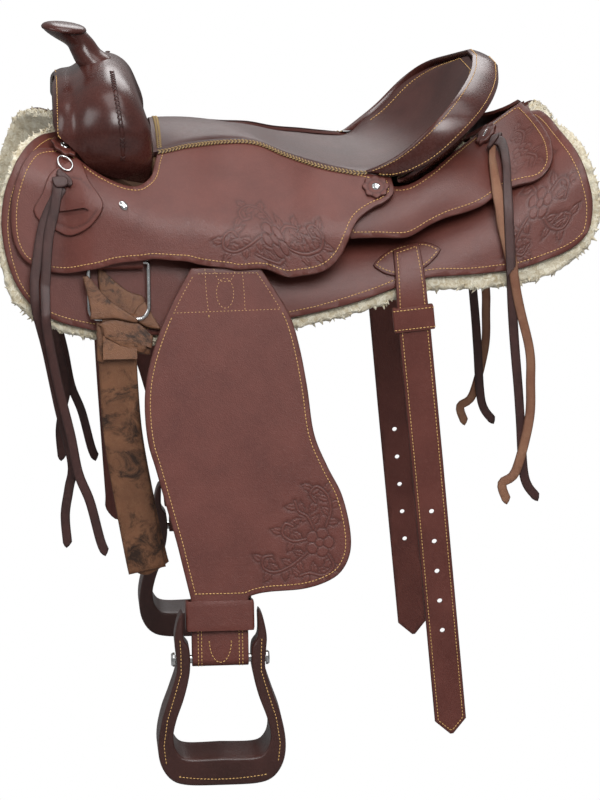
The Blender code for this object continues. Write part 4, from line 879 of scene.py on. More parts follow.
carve(back_jockey, (256, 94), 12, [
    [(258, 82), (263, 66), (256, 52), (247, 58)], [(262, 107), (270, 122), (265, 134)],
    [(246, 102), (238, 112), (244, 124)],
], strength=0.7)
lay_on(back_jockey, BACK_SIDE)
both_sides(back_jockey, russet, "saddle", ["back_jockey_{s}"])
row = seam_in(back_ring, JOCKEY_SEAM, BACK_SIDE, BACK_THICK)
thread_both(sew("back_jockey_stitches_near", back_jockey, [row]), "saddle")
jockey = cut_sheet("seat_jockey_near", SEAT_JOCKEY, JOCKEY_THICK)
jockey_ring = list(jockey["ring"])
carve(jockey, (-46, 150), 17, [
    [(-62, 156), (-76, 168), (-92, 174), (-105, 167), (-106, 155), (-97, 150), (-90, 157)],
    [(-30, 146), (-16, 142), (-3, 133), (8, 120), (9, 106), (-1, 100), (-8, 108), (-2, 115)],
    [(-50, 132), (-62, 122), (-77, 120), (-86, 128), (-82, 138), (-74, 136)],
    [(-36, 164), (-42, 174), (-56, 180), (-68, 178)],
    [(-38, 134), (-32, 122), (-20, 116), (-14, 122)],
])
lay_on(jockey, SEAT_SIDE)
both_sides(jockey, russet, "saddle", ["seat_jockey_{s}"])
row = seam_in(jockey_ring, JOCKEY_SEAM, SEAT_SIDE, JOCKEY_THICK)
thread_both(sew("seat_jockey_stitches_near", jockey, [row]), "saddle")

# %% [markdown]
# The flank billet hangs from an oval patch sewn to the skirt, through a keeper band. Buckle holes
# are punched in the flat with round punches, before the strap is laid on the flank.

# %% Patch, billet and keeper
PATCH_X, PATCH_DOWN, PATCH_LONG, PATCH_HIGH, PATCH_THICK = 112, 169, 80, 31, 2.5
BILLET_TOP, BILLET_TIP, BILLET_WIDTH, BILLET_THICK = Vector((111, 158)), Vector((168, 743)), 38, 4
HOLE_RADIUS, FIRST_HOLE, HOLE_PITCH, KEEPER_AT = 3.1, 463, 37.5, 228
patch_outline = [
    (PATCH_X + PATCH_LONG / 2 * cos(a) * (1 - 0.12 * abs(sin(2 * a))), PATCH_DOWN + PATCH_HIGH / 2 * sin(a))
    for a in (n * pi / 8 for n in range(16))
]
patch = cut_sheet("billet_patch_near", patch_outline, PATCH_THICK)
patch_ring = list(patch["ring"])
lay_on(patch, HORSE, ON_SKIRT)
both_sides(patch, russet, "saddle", ["billet_patch_{s}"])
row = seam_in(patch_ring, 3.2, HORSE, ON_SKIRT + PATCH_THICK)
thread_both(sew("billet_patch_stitches_near", patch, [row + row[:1]]), "saddle")


def punch(thing, spots, radius, depth=20):
    """Punches round holes through a flat sheet."""
    for x, y in spots:
        alone()
        bpy.ops.mesh.primitive_cylinder_add(vertices=20, radius=radius, depth=depth, location=(x, y, 0))
        tool = bpy.context.object
        cut_away(thing, tool)
        bpy.data.objects.remove(tool)


down = (BILLET_TIP - BILLET_TOP).normalized()
across = Vector((down.y, -down.x)) * BILLET_WIDTH / 2
neck = BILLET_TIP - down * 18
shoulder = BILLET_TOP + down * 60
left = [BILLET_TOP + across * 0.8, shoulder + across, neck + across, BILLET_TIP + across * 0.1]
right = [BILLET_TIP - across * 0.1, neck - across, shoulder - across, BILLET_TOP - across * 0.8]
billet_outline = [(*p, CORNER) for p in left + right]
BILLET_SIDE = on_horse(200, BILLET_TOP.x, 412)
BILLET_LIFT = ON_SKIRT + PATCH_THICK + GAP
billet = cut_sheet("flank_billet_near", billet_outline, BILLET_THICK, cell=9)
billet_ring = list(billet["ring"])
punch(billet, [BILLET_TOP + down * (FIRST_HOLE + n * HOLE_PITCH - BILLET_TOP.y) for n in range(5)], HOLE_RADIUS)
lay_on(billet, BILLET_SIDE, BILLET_LIFT)
both_sides(billet, russet, "flank_billet_{s}", ["flank_billet_{s}"])
row = seam_in(billet_ring, 4.0, BILLET_SIDE, BILLET_LIFT + BILLET_THICK)
thread_both(sew("billet_stitches_near", billet, [row + row[:1]]), "flank_billet_{s}")

half, low, high = BILLET_WIDTH / 2 + 3, BILLET_LIFT - 0.45, BILLET_LIFT + BILLET_THICK + 0.45
middle = BILLET_TOP + down * (KEEPER_AT - BILLET_TOP.y)
sideways = Vector((down.y, -down.x))


def band(name, inner, outer, start, end, place, cells=10):
    """A closed band of leather: its section's inner and outer rings, run along its width."""
    count = len(inner)
    verts, faces = [], []
    for r in range(cells + 1):
        at = start + (end - start) * r / cells
        less = 0.7 if r in (0, cells) else 0.0
        for ring, pull in ((inner, -0.2), (outer, 1)):
            mid = Vector((sum(p[0] for p in ring) / count, sum(p[1] for p in ring) / count))
            for u, v in ring:
                way = (mid - Vector((u, v))).normalized() * less * pull
                verts.append(place(u + way.x, v + way.y, at) * MM)
    for r in range(cells):
        for a in (r * 2 * count, (r * 2 + 1) * count):
            b = a + 2 * count
            faces += [(a + n, a + (n + 1) % count, b + (n + 1) % count, b + n) for n in range(count)]
    for a in (0, cells * 2 * count):
        faces += [(a + n, a + (n + 1) % count, a + count + (n + 1) % count, a + count + n) for n in range(count)]
    return from_faces(name, verts, faces)


def round_box(x0, x1, y0, y1, radius, corner=4, side=6):
    """A rounded rectangle's points, as many for every radius."""
    spots = []
    for cx, cy, a0 in ((x1 - radius, y1 - radius, 0), (x0 + radius, y1 - radius, 90),
                       (x0 + radius, y0 + radius, 180), (x1 - radius, y0 + radius, 270)):
        turns = [radians(a0 + 90 * n / corner) for n in range(corner + 1)]
        spots += [(cx + radius * cos(a), cy + radius * sin(a)) for a in turns]
    full = []
    for n, (x, y) in enumerate(spots):
        full.append((x, y))
        if n % (corner + 1) == corner:
            far_x, far_y = spots[(n + 1) % len(spots)]
            full += [(x + (far_x - x) * k / side, y + (far_y - y) * k / side) for k in range(1, side)]
    return full


def keeper_place(out, height, length):
    spot = middle + sideways * out + down * length
    return BILLET_SIDE(spot.x, spot.y, height)


keeper = band("billet_keeper_near", round_box(-half, half, low, high, 0.8),
              round_box(-half - 2.5, half + 2.5, low - 2.5, high + 2.5, 2.6), -14.5, 14.5, keeper_place)
both_sides(keeper, russet, "billet_keeper_{s}", ["billet_keeper_{s}"])
row = [[keeper_place(u * half * 1.12 / 10, high + 2.5, at) for u in range(-10, 11)] for at in (-11.5, 11.5)]
thread_both(sew("keeper_stitches_near", keeper, row), "billet_keeper_{s}")

# %% [markdown]
# The fender is the broad panel under the rider's leg. Behind it the stirrup leather runs down,
# round the stirrup's bolt and up again, and the hobble strap wraps all of it above the stirrup.

# %% Fender, stirrup leather and hobble strap
FENDER = [
    (-144, -54, CORNER), (-164, -88), (-184, -131), (-197, -173), (-201, -210), (-198, -251),
    (-189, -284), (-177, -329), (-167, -366), (-160, -396), (-152, -430, CORNER),
    (-150, -462, CORNER), (-86, -462, CORNER), (-84, -430, CORNER), (-73, -427),
    (-57, -425), (-21, -423), (6, -416), (25, -404), (36, -382), (36, -353), (27, -315),
    (11, -283), (-4, -245), (-11, -192), (-19, -147), (-29, -112), (-45, -83), (-64, -54, CORNER),
]
STRAP_X, STRAP_WIDTH, BOLT_Z, BOLT_RADIUS = -118, 66, -503, 5
LOOP_MIDDLE = STRAP_LIFT - BOLT_RADIUS - GAP
HOBBLE_TOP, HOBBLE_END = -433, -468
SEAM_LOW, SUNK_ABOVE, SUNK_LIFT = -428, -104, -0.42
FENDER_SIDE = on_flank(FENDER_LIFT)
fender = cut_sheet("fender_near", FENDER, FENDER_THICK)
fender_ring = list(fender["ring"])
carve(fender, (0, -370), 17, [
    [(8, -352), (14, -334), (10, -316), (-2, -306), (-10, -314), (-4, -324)],
    [(-14, -381), (-32, -395), (-52, -403), (-66, -398), (-66, -386), (-56, -384)],
    [(-16, -366), (-31, -368), (-43, -360), (-40, -348), (-31, -351)],
    [(-7, -354), (-14, -340), (-24, -334), (-28, -322)],
    [(10, -384), (16, -398), (4, -408), (-12, -405), (-24, -408)],
])
lay_on(fender, FENDER_SIDE, FENDER_LIFT)
both_sides(fender, russet, "fender_{s}", ["fender_{s}"])
ON_FENDER = FENDER_LIFT + FENDER_THICK
rows = [[p for p in seam_in(fender_ring, 6.5, FENDER_SIDE, ON_FENDER) if p.z > SEAM_LOW]]
rows.append([FENDER_SIDE(-105 + 10 * cos(a), -83 + 17 * sin(a), ON_FENDER)
             for a in (radians(10 * k) for k in range(37))])
for line in ([(-128, -54), (-127, -80), (-124, -113)], [(-85, -54), (-83, -80), (-82, -107)],
             [(-118, -54), (-112, -68), (-98, -68), (-92, -54)]):
    rows.append([FENDER_SIDE(x, z, ON_FENDER) for x, z in smooth_line(line, 8)])
high_rows = [[p for p in row if p.z > SUNK_ABOVE] for row in rows]
low_rows = [row for row in ([p for p in row if p.z <= SUNK_ABOVE] for row in rows) if len(row) > 2]
thread_both(sew("fender_stitches_near", fender, low_rows), "fender_{s}")
thread_both(sew("fender_stitches_sunk_near", fender, high_rows, lift=SUNK_LIFT), "fender_{s}")


def down_flank(x, middle_z, middle_lift):
    """Lays distance down the flank, lift and distance across, from a middle point."""
    middle_y = flank(middle_lift, middle_z)

    def place(down, lift, across):
        out = lift - middle_lift
        y = middle_y + down * cos(FLANK_LEAN) + out * sin(FLANK_LEAN)
        return Vector((x + across, -y, middle_z - down * sin(FLANK_LEAN) + out * cos(FLANK_LEAN)))

    return place


def ribbon(name, ring, width, place, edge=0.8, cells=8):
    """A strap seen from its edge: its side outline, run across its width with rounded edges."""
    stops = [0, edge * 0.3, edge] + [edge + (width - 2 * edge) * n / cells for n in range(1, cells)]
    stops += [width - edge, width - edge * 0.3, width]
    count = len(ring)
    area = sum(ring[n - 1][0] * ring[n][1] - ring[n][0] * ring[n - 1][1] for n in range(count))
    turn = 1 if area > 0 else -1
    ends = {0: 0.75, 1: 0.22, len(stops) - 2: 0.22, len(stops) - 1: 0.75}
    rings = []
    for number, stop in enumerate(stops):
        less = edge * ends.get(number, 0)
        rings.append([])
        for n in range(count):
            way = (Vector(ring[(n + 1) % count]) - Vector(ring[n - 1])).normalized() * turn
            spot = Vector(ring[n]) + Vector((-way.y, way.x)) * less
            rings[-1].append(place(*spot, stop))
    return loft(name, rings, 40)


middle, inner = LOOP_MIDDLE, BOLT_RADIUS + GAP
outer = inner + LEATHER_THICK
back_end, top = HOBBLE_TOP + 12 - BOLT_Z, -112 - BOLT_Z
turns = [pi * n / 16 for n in range(17)]
side_ring = [(top * (n / 12 - 1), middle + outer) for n in range(12)]
side_ring += [(outer * sin(a), middle + outer * cos(a)) for a in turns]
side_ring += [(-back_end, middle - outer), (-back_end, middle - inner)]
side_ring += [(inner * sin(a), middle + inner * cos(a)) for a in reversed(turns)]
side_ring += [(-top, middle + inner)]
place = down_flank(STRAP_X - STRAP_WIDTH / 2, BOLT_Z, middle)
leathers = ribbon("stirrup_leather_near", side_ring, STRAP_WIDTH, place)
both_sides(leathers, russet, "fender_{s}", ["stirrup_leather_{s}"])
rows = []
for at in (7, 11, STRAP_WIDTH - 11, STRAP_WIDTH - 7):
    rows.append([place(-56 + n * 3.5, middle + outer, at) for n in range(16)] +
                [place(outer * sin(a), middle + outer * cos(a), at) for a in turns[:7]])
arch = [(STRAP_WIDTH / 2 + 13 * cos(a), -22 + 26 * sin(a)) for a in (pi * n / 18 for n in range(19))]
rows.append([place(v, middle + outer, u) for u, v in arch])
thread_both(sew("stirrup_leather_stitches_near", leathers, rows), "fender_{s}")

inner_low = LOOP_MIDDLE - BOLT_RADIUS - GAP - LEATHER_THICK - GAP
inner_high = FENDER_LIFT + FENDER_THICK + GAP
inner_half = STRAP_WIDTH / 2 + 4
hobble_side = down_flank(STRAP_X, HOBBLE_END, FENDER_LIFT)
hobble = band("hobble_strap_near", round_box(-inner_half, inner_half, inner_low, inner_high, 0.8),
              round_box(-inner_half - 3, inner_half + 3, inner_low - 2.5, inner_high + 2.5, 3.0),
              0, HOBBLE_TOP - HOBBLE_END, lambda u, v, at: hobble_side(-at, v, u))
both_sides(hobble, russet, "fender_{s}", ["hobble_strap_{s}"])

HANGER = [(-139, 98, CORNER), (-87, 98, CORNER), (-87, 178, CORNER), (-139, 178, CORNER)]
hanger = cut_sheet("stirrup_hanger_near", HANGER, LEATHER_THICK, cell=9)
lay_on(hanger, HORSE, STRAP_LIFT)
both_sides(hanger, russet, "saddle", ["stirrup_hanger_{s}"])

# %% [markdown]
# The stirrup is a bent wooden bow covered in dark leather, deep at the tread and slim at the top.
# Rounded sections stand square to the bow, half of them mirrored, and are joined into one solid.

# %% Stirrup and bolt
STIRRUP_HALF = [
    (0, -650), (40, -649), (60, -642), (72, -624), (75, -600), (70, -570), (60, -540),
    (52, -512), (53, -490), (54, -474), (51, -456), (47, -445), (45, -443), (43.5, -448),
    (43.5, -474), (37, -486), (36, -505), (38, -522), (44, -545), (53, -570), (57, -590),
    (53, -607), (40, -616, CORNER), (0, -616, CORNER),
]
STIRRUP_Y = flank(LOOP_MIDDLE, BOLT_Z)


def stirrup_depth(z):
    share = (-474 - z) / (-474 + 650)
    return 28 + (66 - 28) * share


def evenly(points, count):
    """A number of even steps along a smooth line through points."""
    line = smooth_line([p[:2] for p in points], 8)
    reach = np.concatenate([[0], np.cumsum([(b - a).length for a, b in zip(line, line[1:])])])
    want = np.linspace(0, reach[-1], count)
    return [Vector((float(np.interp(w, reach, [p.x for p in line])), float(np.interp(w, reach, [p.y for p in line])))) for w in want]


outer = evenly(STIRRUP_HALF[:12] + [(45, -443)], 60)
inner = evenly([(44, -446)] + STIRRUP_HALF[13:], 60)[::-1]
arm = []
for a, b in zip(outer, inner):
    deep = stirrup_depth((a.y + b.y) / 2) / 2
    across = (b - a).length / 2
    round_off = min(3.2, across * 0.8)
    middle, way = (a + b) / 2, (b - a).normalized()
    ring = round_box(-across, across, -deep, deep, round_off, corner=4, side=5)
    arm.append([Vector((middle.x + way.x * u, -STIRRUP_Y + v, middle.y + way.y * u)) for u, v in ring])
other = [[Vector((-p.x, p.y, p.z)) for p in ring] for ring in arm[:0:-1]]
rings = [[p + Vector((STRAP_X, 0, 0)) for p in ring] for ring in other + arm]
stirrup = loft("stirrup_near", rings)
both_sides(stirrup, stirrup_look, "stirrup_{s}", ["stirrup_{s}"])
front = -STIRRUP_Y - 0.5 * stirrup_depth(-640)
rows = [[Vector((STRAP_X + x, front - 2, -641.5 + abs(x) ** 2 * 0.0016)) for x in range(-52, 53, 4)]]
for s in (-1, 1):
    rows.append([Vector((STRAP_X + s * x, -STIRRUP_Y - 0.5 * stirrup_depth(z) - 2, z))
                 for x, z in ((66, -622), (68.5, -600), (64, -570), (55, -541), (47, -514), (47, -492), (48, -474))])
thread_both(sew("stirrup_stitches_near", stirrup, rows), "stirrup_{s}")


def keep_solid(look, *names):
    """Leaves a rigid solid as it is and gives it a better material."""
    for name in names:
        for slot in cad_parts[name].material_slots:
            slot.material = look


keep_solid(steel, "stirrup_bolt_left", "stirrup_bolt_right")

# %% [markdown]
# The rigging dee is a welded bar of stainless steel that turns in a leather loop under the jockey.
# The latigo passes through it and hangs in a fold; on the off side a doubled billet does.

# %% Rigging
DEE_X, DEE_TOP, DEE_WIDTH, DEE_HEIGHT, DEE_CORNER, DEE_RADIUS, SLACK = -228, -46, 75, 70, 14, 2.6, 0.9
BAR_LIFT = ON_SKIRT + 4 * GAP + 3 + SLACK + DEE_RADIUS
FOOT = DEE_TOP - DEE_HEIGHT + DEE_RADIUS


def tube(name, path, radius, sides=14, closed=True, flat=1.0, normal=None):
    """A round bar along a path of points in millimetres."""
    count = len(path)
    rings, faces = [], []
    for n in range(count):
        before = path[n - 1] if closed or n else path[n]
        after = path[(n + 1) % count] if closed or n < count - 1 else path[n]
        way = (after - before).normalized()
        out = normal(path[n]) if normal else Vector((0, -1, 0))
        side = way.cross(out).normalized()
        out = side.cross(way)
        r = radius(n / max(count - 1, 1)) if callable(radius) else radius
        rings += [(path[n] + side * r * cos(a) + out * r * flat * sin(a)) * MM for a in (2 * pi * m / sides for m in range(sides))]
    for n in range(count if closed else count - 1):
        a, b = n * sides, ((n + 1) % count) * sides
        faces += [(a + m, a + (m + 1) % sides, b + (m + 1) % sides, b + m) for m in range(sides)]
    if not closed:
        faces += [tuple(range(sides)), tuple((count - 1) * sides + m for m in range(sides))]
    mesh = bpy.data.meshes.new(name)
    mesh.from_pydata(rings, [], faces)
    thing = bpy.data.objects.new(name, mesh)
    bpy.context.scene.collection.objects.link(thing)
    return face_out(thing, 60)


reach, top = DEE_WIDTH / 2 - DEE_RADIUS, DEE_TOP - DEE_RADIUS
bend = [(reach - DEE_CORNER + DEE_CORNER * cos(a), FOOT + DEE_CORNER - DEE_CORNER * sin(a)) for a in (pi / 2 * n / 8 for n in range(9))]
upper = [(reach - 3 + 3 * cos(a), top - 3 + 3 * sin(a)) for a in (pi / 2 * n / 4 for n in range(5))]
right_half = upper[::-1] + [(reach, top - (top - FOOT - DEE_CORNER) * n / 6) for n in range(2, 6)] + bend
loop = right_half + [(-x, z) for x, z in reversed(right_half)]
dee_side = on_flank(BAR_LIFT)
dee = tube("rigging_dee_near", [dee_side(DEE_X + x, z, BAR_LIFT) for x, z in loop], DEE_RADIUS)
both_sides(dee, steel, "dee_{s}", ["rigging_dee_{s}"])

room = DEE_RADIUS + SLACK
high, low = BAR_LIFT + room, BAR_LIFT - room
loop_end = to_level(DEE_X, DEE_TOP - 2 * DEE_RADIUS - BAR_LIFT * cos(FLANK_LEAN)) + SLACK
level = to_level(DEE_X, 0)
steps = [136 + (loop_end - 136) * n / 8 for n in range(9)]
round_end = [(loop_end + room * 1.25 * sin(a) * 0.8, BAR_LIFT + room * cos(a)) for a in (pi * n / 8 for n in range(1, 8))]
outer_end = [(loop_end + (room + 3) * sin(a) * 0.62, BAR_LIFT + (room + 3) * cos(a)) for a in (pi * n / 8 for n in range(1, 8))]
loop_ring = [(s, high + 3) for s in steps] + outer_end + [(s, low - 3) for s in steps[::-1]]
loop_ring += [(s, low) for s in steps[1:]] + [(loop_end - 0.5 + (x - loop_end) * 0.2, v) for x, v in round_end[::-1]]
loop_ring += [(s, high) for s in steps[::-1]]
rigging_loop = ribbon(
    "rigging_loop_near", loop_ring, 58,
    lambda d, lift, at: HORSE(DEE_X - 29 + at, d + to_level(DEE_X - 29 + at, 0) - level, lift),
)
both_sides(rigging_loop, russet, "saddle", ["rigging_loop_{s}"])

LATIGO_THICK, LATIGO_WIDTH, LATIGO_EDGE = 3.4, 45, 285
LATIGO_LINE = [(-231, 296), (-230, 330), (-226, 400), (-214, 480), (-203, 545), (-197, 576)]
LATIGO_LIFT = ON_SKIRT + 2 * GAP
LATIGO_SIDE = on_horse(LATIGO_EDGE, DEE_X)


def strip(line, width, steps=4, slant=0.8):
    """The outline of a strap along a curved line, with a slanted end."""
    middle = smooth_line(line, steps)
    left, right = [], []
    for n, point in enumerate(middle):
        way = middle[min(n + 1, len(middle) - 1)] - middle[max(n - 1, 0)]
        side = Vector((-way.y, way.x)).normalized() * width / 2
        left.append(tuple(point + side))
        right.append(tuple(point - side))
    if not slant:
        left[-1], right[-1] = (*left[-1], CORNER), (*right[-1], CORNER)
        return left + right[::-1]
    tip = middle[-1] + (middle[-1] - middle[-2]).normalized() * width * slant
    return left + [(left[-1][0] * 0.3 + tip.x * 0.7, left[-1][1] * 0.3 + tip.y * 0.7)] + right[::-1]


def through_dee(name, width, length):
    inner = DEE_RADIUS + GAP
    outer = inner + LATIGO_THICK
    turns = [pi * n / 16 for n in range(17)]
    ring = [(length * n / 6, BAR_LIFT + outer) for n in range(6, 0, -1)]
    ring += [(-outer * sin(a), BAR_LIFT + outer * cos(a)) for a in turns]
    ring += [(length * n / 6, BAR_LIFT - outer) for n in range(1, 7)]
    ring += [(length * n / 6, BAR_LIFT - inner) for n in range(6, 0, -1)]
    ring += [(-inner * sin(a), BAR_LIFT - inner * cos(a)) for a in turns]
    ring += [(length * n / 6, BAR_LIFT + inner) for n in range(1, 7)]
    return ribbon(name, ring, width, down_flank(DEE_X - width / 2, FOOT, BAR_LIFT))


front_fold = cut_sheet("latigo_front", strip(LATIGO_LINE[:-1] + [(-199, 566)], LATIGO_WIDTH, 4, 0), LATIGO_THICK, cell=7)
lay_on(front_fold, LATIGO_SIDE, LATIGO_LIFT + LATIGO_THICK)
back_line = [(-231, 296), (-229, 330), (-224, 400), (-211, 480), (-198, 545), (-194, 562)]
latigo = cut_sheet("latigo_near", strip(back_line, LATIGO_WIDTH - 2, 4, 0.3), LATIGO_THICK, cell=7)
lay_on(latigo, LATIGO_SIDE, LATIGO_LIFT)


def fold(name, outline, thick, lift):
    """A folded length of the latigo, drawn by x and height, with its corners a little rounded."""
    drawn = [(x, to_level(DEE_X, z) - 6, *rest) for x, z, *rest in outline]
    return lay_on(cut_sheet(name, drawn, thick, cell=5, edge=1.2), LATIGO_SIDE, LATIGO_LIFT + lift)


parts = [
    fold("latigo_flap", [(-252, -74, CORNER), (-243, -78), (-218, -88), (-200, -87), (-198, -96), (-206, -112),
                         (-216, -118), (-242, -112), (-250, -104)], 3.2, 0.2),
    fold("latigo_ear", [(-198, -92, CORNER), (-179, -118, CORNER), (-197, -121), (-211, -116), (-206, -102)], 3.0, 3.8),
    fold("latigo_corner", [(-270, -96, CORNER), (-264, -92), (-241, -107), (-217, -113), (-206, -116.5, CORNER),
                           (-208, -120.5), (-217, -122.5), (-228, -124.5), (-234, -126.5), (-245, -132), (-255, -137.5),
                           (-262, -140.5, CORNER), (-262, -126)], 3.2, 14.7),
    fold("latigo_under", [(-255, -140, CORNER), (-255, -166, CORNER), (-248, -169, CORNER), (-236, -162),
                          (-219, -158), (-193, -160, CORNER), (-190, -140, CORNER), (-220, -132)], 3.4, 6.9),
    fold("latigo_wrap", [(-253, -142, CORNER), (-245, -134), (-234, -127.5), (-228, -125.5), (-217, -123.5), (-206, -120),
                         (-189, -129, CORNER), (-192, -146), (-201, -157, CORNER), (-224, -152)], 4.6, 9.9),
]
turns_on_dee = joined(*parts[:3])
turns_on_dee.name = "latigo_turns"
dress(turns_on_dee, latigo_look, "dee_left")
joined(latigo, front_fold, *parts[3:], through_dee("latigo_loop", LATIGO_WIDTH - 5, 46))
dress(latigo, latigo_look, "latigo", ["latigo"])

off_line = [(-228, 296), (-225, 400), (-214, 600)]
off_billet = cut_sheet("off_billet_near", strip(off_line, LATIGO_WIDTH, 8, 0.5), 2 * LATIGO_THICK, cell=8)
off_ring = list(off_billet["ring"])
start, end = Vector(off_line[0]), Vector(off_line[-1])
down = (end - start).normalized()
punch(off_billet, [end - down * (30 + n * 32) for n in range(7)], 3.1)
lay_on(off_billet, LATIGO_SIDE, LATIGO_LIFT)
joined(off_billet, through_dee("off_billet_loop", LATIGO_WIDTH - 5, 50))
off_twin = other_side(off_billet, russet, "off_billet", ["off_billet"])
row = seam_in(off_ring, 4.0, LATIGO_SIDE, LATIGO_LIFT + 2 * LATIGO_THICK)
stitches = sew("off_billet_stitches_near", off_billet, [row + row[:1]])
other_side(stitches, thread, "off_billet")
bpy.data.objects.remove(stitches)
bpy.data.objects.remove(off_billet)

# %% [markdown]
# The small trim sits on the jockeys: a latigo holder, scalloped rosettes under domed screws, a wire
# ring and two pairs of saddle strings. Each string pair is one lace folded through its knot, and
# the back one shows its tan flesh side.

# %% Holder, rosettes, rings and strings
HOLDER = [
    (-280, 70), (-304, 96), (-315, 123), (-325, 147), (-315, 158), (-301, 159), (-283, 159),
    (-262, 144), (-246, 119), (-246, 106), (-260, 90), (-268, 66), (-274, 62),
]
HOLDER_SLOT = [(-296, 135), (-294, 139), (-264, 127), (-266, 122)]
HOLDER_THICK, ROSETTE_THICK, STRING_THICK = 4, 3.5, 2.8
ON_JOCKEY = JOCKEY_THICK + GAP
ON_HOLDER = ON_JOCKEY + HOLDER_THICK + GAP


def press(thing, spots, line, reach, depth):
    """Presses a groove along a line into the upper skin of a flat sheet, and paints shade into it."""
    mesh = thing.data
    flat = coords(mesh)
    gap = from_line(flat[:, :2], line)
    share = np.exp(-(gap / reach) ** 2)
    top = flat[:, 2] > flat[:, 2].max() * 0.6
    flat[:, 2] -= np.where(top, share * depth, 0)
    mesh.vertices.foreach_set("co", flat.ravel())
    layer = mesh.attributes.get("carve") or mesh.attributes.new("carve", "FLOAT", "POINT")
    old = np.zeros(len(mesh.vertices))
    layer.data.foreach_get("value", old)
    layer.data.foreach_set("value", np.maximum(old, share).astype(np.float32))


holder = cut_sheet("latigo_holder_near", HOLDER, HOLDER_THICK, cell=2.2, edge=1.3)
slot_tool = cut_sheet("slot_tool", HOLDER_SLOT, 12, cell=40, step=3)
slot_tool.location.z = -4
cut = holder.modifiers.new("slot", "BOOLEAN")
cut.object = slot_tool
alone(holder)
bpy.ops.object.modifier_apply(modifier="slot")
bpy.data.objects.remove(slot_tool)
press(holder, None, smooth_line([(-306, 128), (-300, 112), (-288, 97), (-272, 92), (-258, 100)], 6), 1.0, 0.5)
press(holder, None, smooth_line([(-300, 150), (-280, 149), (-264, 138), (-252, 120)], 6), 1.0, 0.5)
lay_on(holder, SEAT_SIDE, ON_JOCKEY)
dress(holder, russet, "saddle", ["latigo_holder"])


def domed(name, spot, surface, lift, radius, high):
    """A screw's domed head, seated on a surface."""
    alone()
    bpy.ops.mesh.primitive_uv_sphere_add(segments=24, ring_count=12, radius=1)
    thing = bpy.context.object
    thing.name = name
    for vert in thing.data.vertices:
        x, y, z = vert.co
        slot = 0.35 if abs(y) < 0.13 and z > 0.5 else 0
        vert.co = surface(spot[0] + radius * x, spot[1] + radius * y, lift + high * (max(z, -0.12) - slot)) * MM
    return face_out(thing, 50)


def rosette(name, spot, surface, lift):
    count, lobes, radius = 64, 8, 16
    ring = [Vector((spot[0] + r * cos(a), spot[1] + r * sin(a))) for a, r in (
        (2 * pi * n / count, radius * (0.93 + 0.07 * cos(lobes * 2 * pi * n / count))) for n in range(count))]
    washer = cut_sheet(name, None, ROSETTE_THICK, cell=1.5, edge=1.1, ring=ring)
    circle = [(spot[0] + radius * 0.6 * cos(a), spot[1] + radius * 0.6 * sin(a)) for a in (pi * n / 12 for n in range(25))]
    press(washer, None, circle, 0.9, 0.5)
    for n in range(lobes):
        a = 2 * pi * (n + 0.5) / lobes
        press(washer, None, [(spot[0] + radius * k * cos(a), spot[1] + radius * k * sin(a)) for k in (0.62, 0.9)], 0.7, 0.5)
    return lay_on(washer, surface, lift)


SPOTS = [
    ("front_rosette", (-287, 52), SEAT_SIDE, ON_HOLDER), ("seat_rosette", (75, 24), SEAT_SIDE, ON_JOCKEY),
    ("rear_rosette", (217, 18), BACK_SIDE, BACK_THICK + 4 * GAP),
]
for name, spot, surface, lift in SPOTS:
    for side, far in (("left", 1), ("right", -1)):
        if far < 0 and name == "front_rosette":
            lift = ON_JOCKEY
        washer = rosette(f"{name}_near", spot, surface, lift)
        head = domed(f"{name}_screw_near", spot, surface, lift + ROSETTE_THICK - 0.6, 5.2, 2.9)
        if far > 0:
            dress(washer, russet, "saddle", [f"{name}_left"])
            dress(head, steel, "saddle")
        else:
            other_side(washer, russet, "saddle", [f"{name}_right"])
            other_side(head, steel, "saddle")
            bpy.data.objects.remove(washer)
            bpy.data.objects.remove(head)
head = domed("jockey_screw_near", (-221, 103), SEAT_SIDE, ON_JOCKEY, 5.2, 2.6)
both_sides(head, steel, "saddle", ["jockey_screw_{s}"])

STRING_WIDTH, STRING_EDGE = 11, 232
FRONT_STRING = [
    (-296, 106), (-301, 136), (-308, 169), (-312, 214), (-313, 245), (-306, 291), (-297, 336),
    (-287, 381), (-279, 426), (-266, 461), (-255, 507), (-250, 521),
]
FRONT_STRING_BACK = [
    (-292, 106), (-313, 157), (-323, 212), (-325, 241), (-313, 294), (-300, 363), (-286, 430),
    (-290, 461), (-295, 493), (-293, 527),
]
REAR_STRING = [
    (228, 48), (234, 66), (234, 98), (231, 135), (231, 167), (232, 204), (234, 279), (238, 340),
    (244, 403), (247, 440), (253, 511), (267, 536),
]
REAR_STRING_BACK = [
    (223, 50), (218, 74), (218, 109), (221, 136), (224, 163), (241, 259), (256, 322), (258, 362),
    (257, 409), (242, 471), (226, 486), (231, 505),
]


def lace(name, line, table, fold, lift, turn):
    """A flat lace along a line, a little twisted where it hangs."""
    sheet = cut_sheet(name, strip(line, STRING_WIDTH, 5, 0.9), STRING_THICK, cell=5.5, edge=0.8)
    place = on_line(table, fold, STRING_EDGE, line[-1][0])
    downs, xs = [p[1] for p in line], [p[0] for p in line]

    def twisted(x, distance, height):
        off = x - float(np.interp(distance, downs, xs))
        free = min(max((distance - STRING_EDGE - 20) / 60, 0), 1)
        return place(x, distance, height + free * 0.16 * off * sin((distance - STRING_EDGE) / 42 * turn) + free * 1.5)

    return lay_on(sheet, twisted, lift)


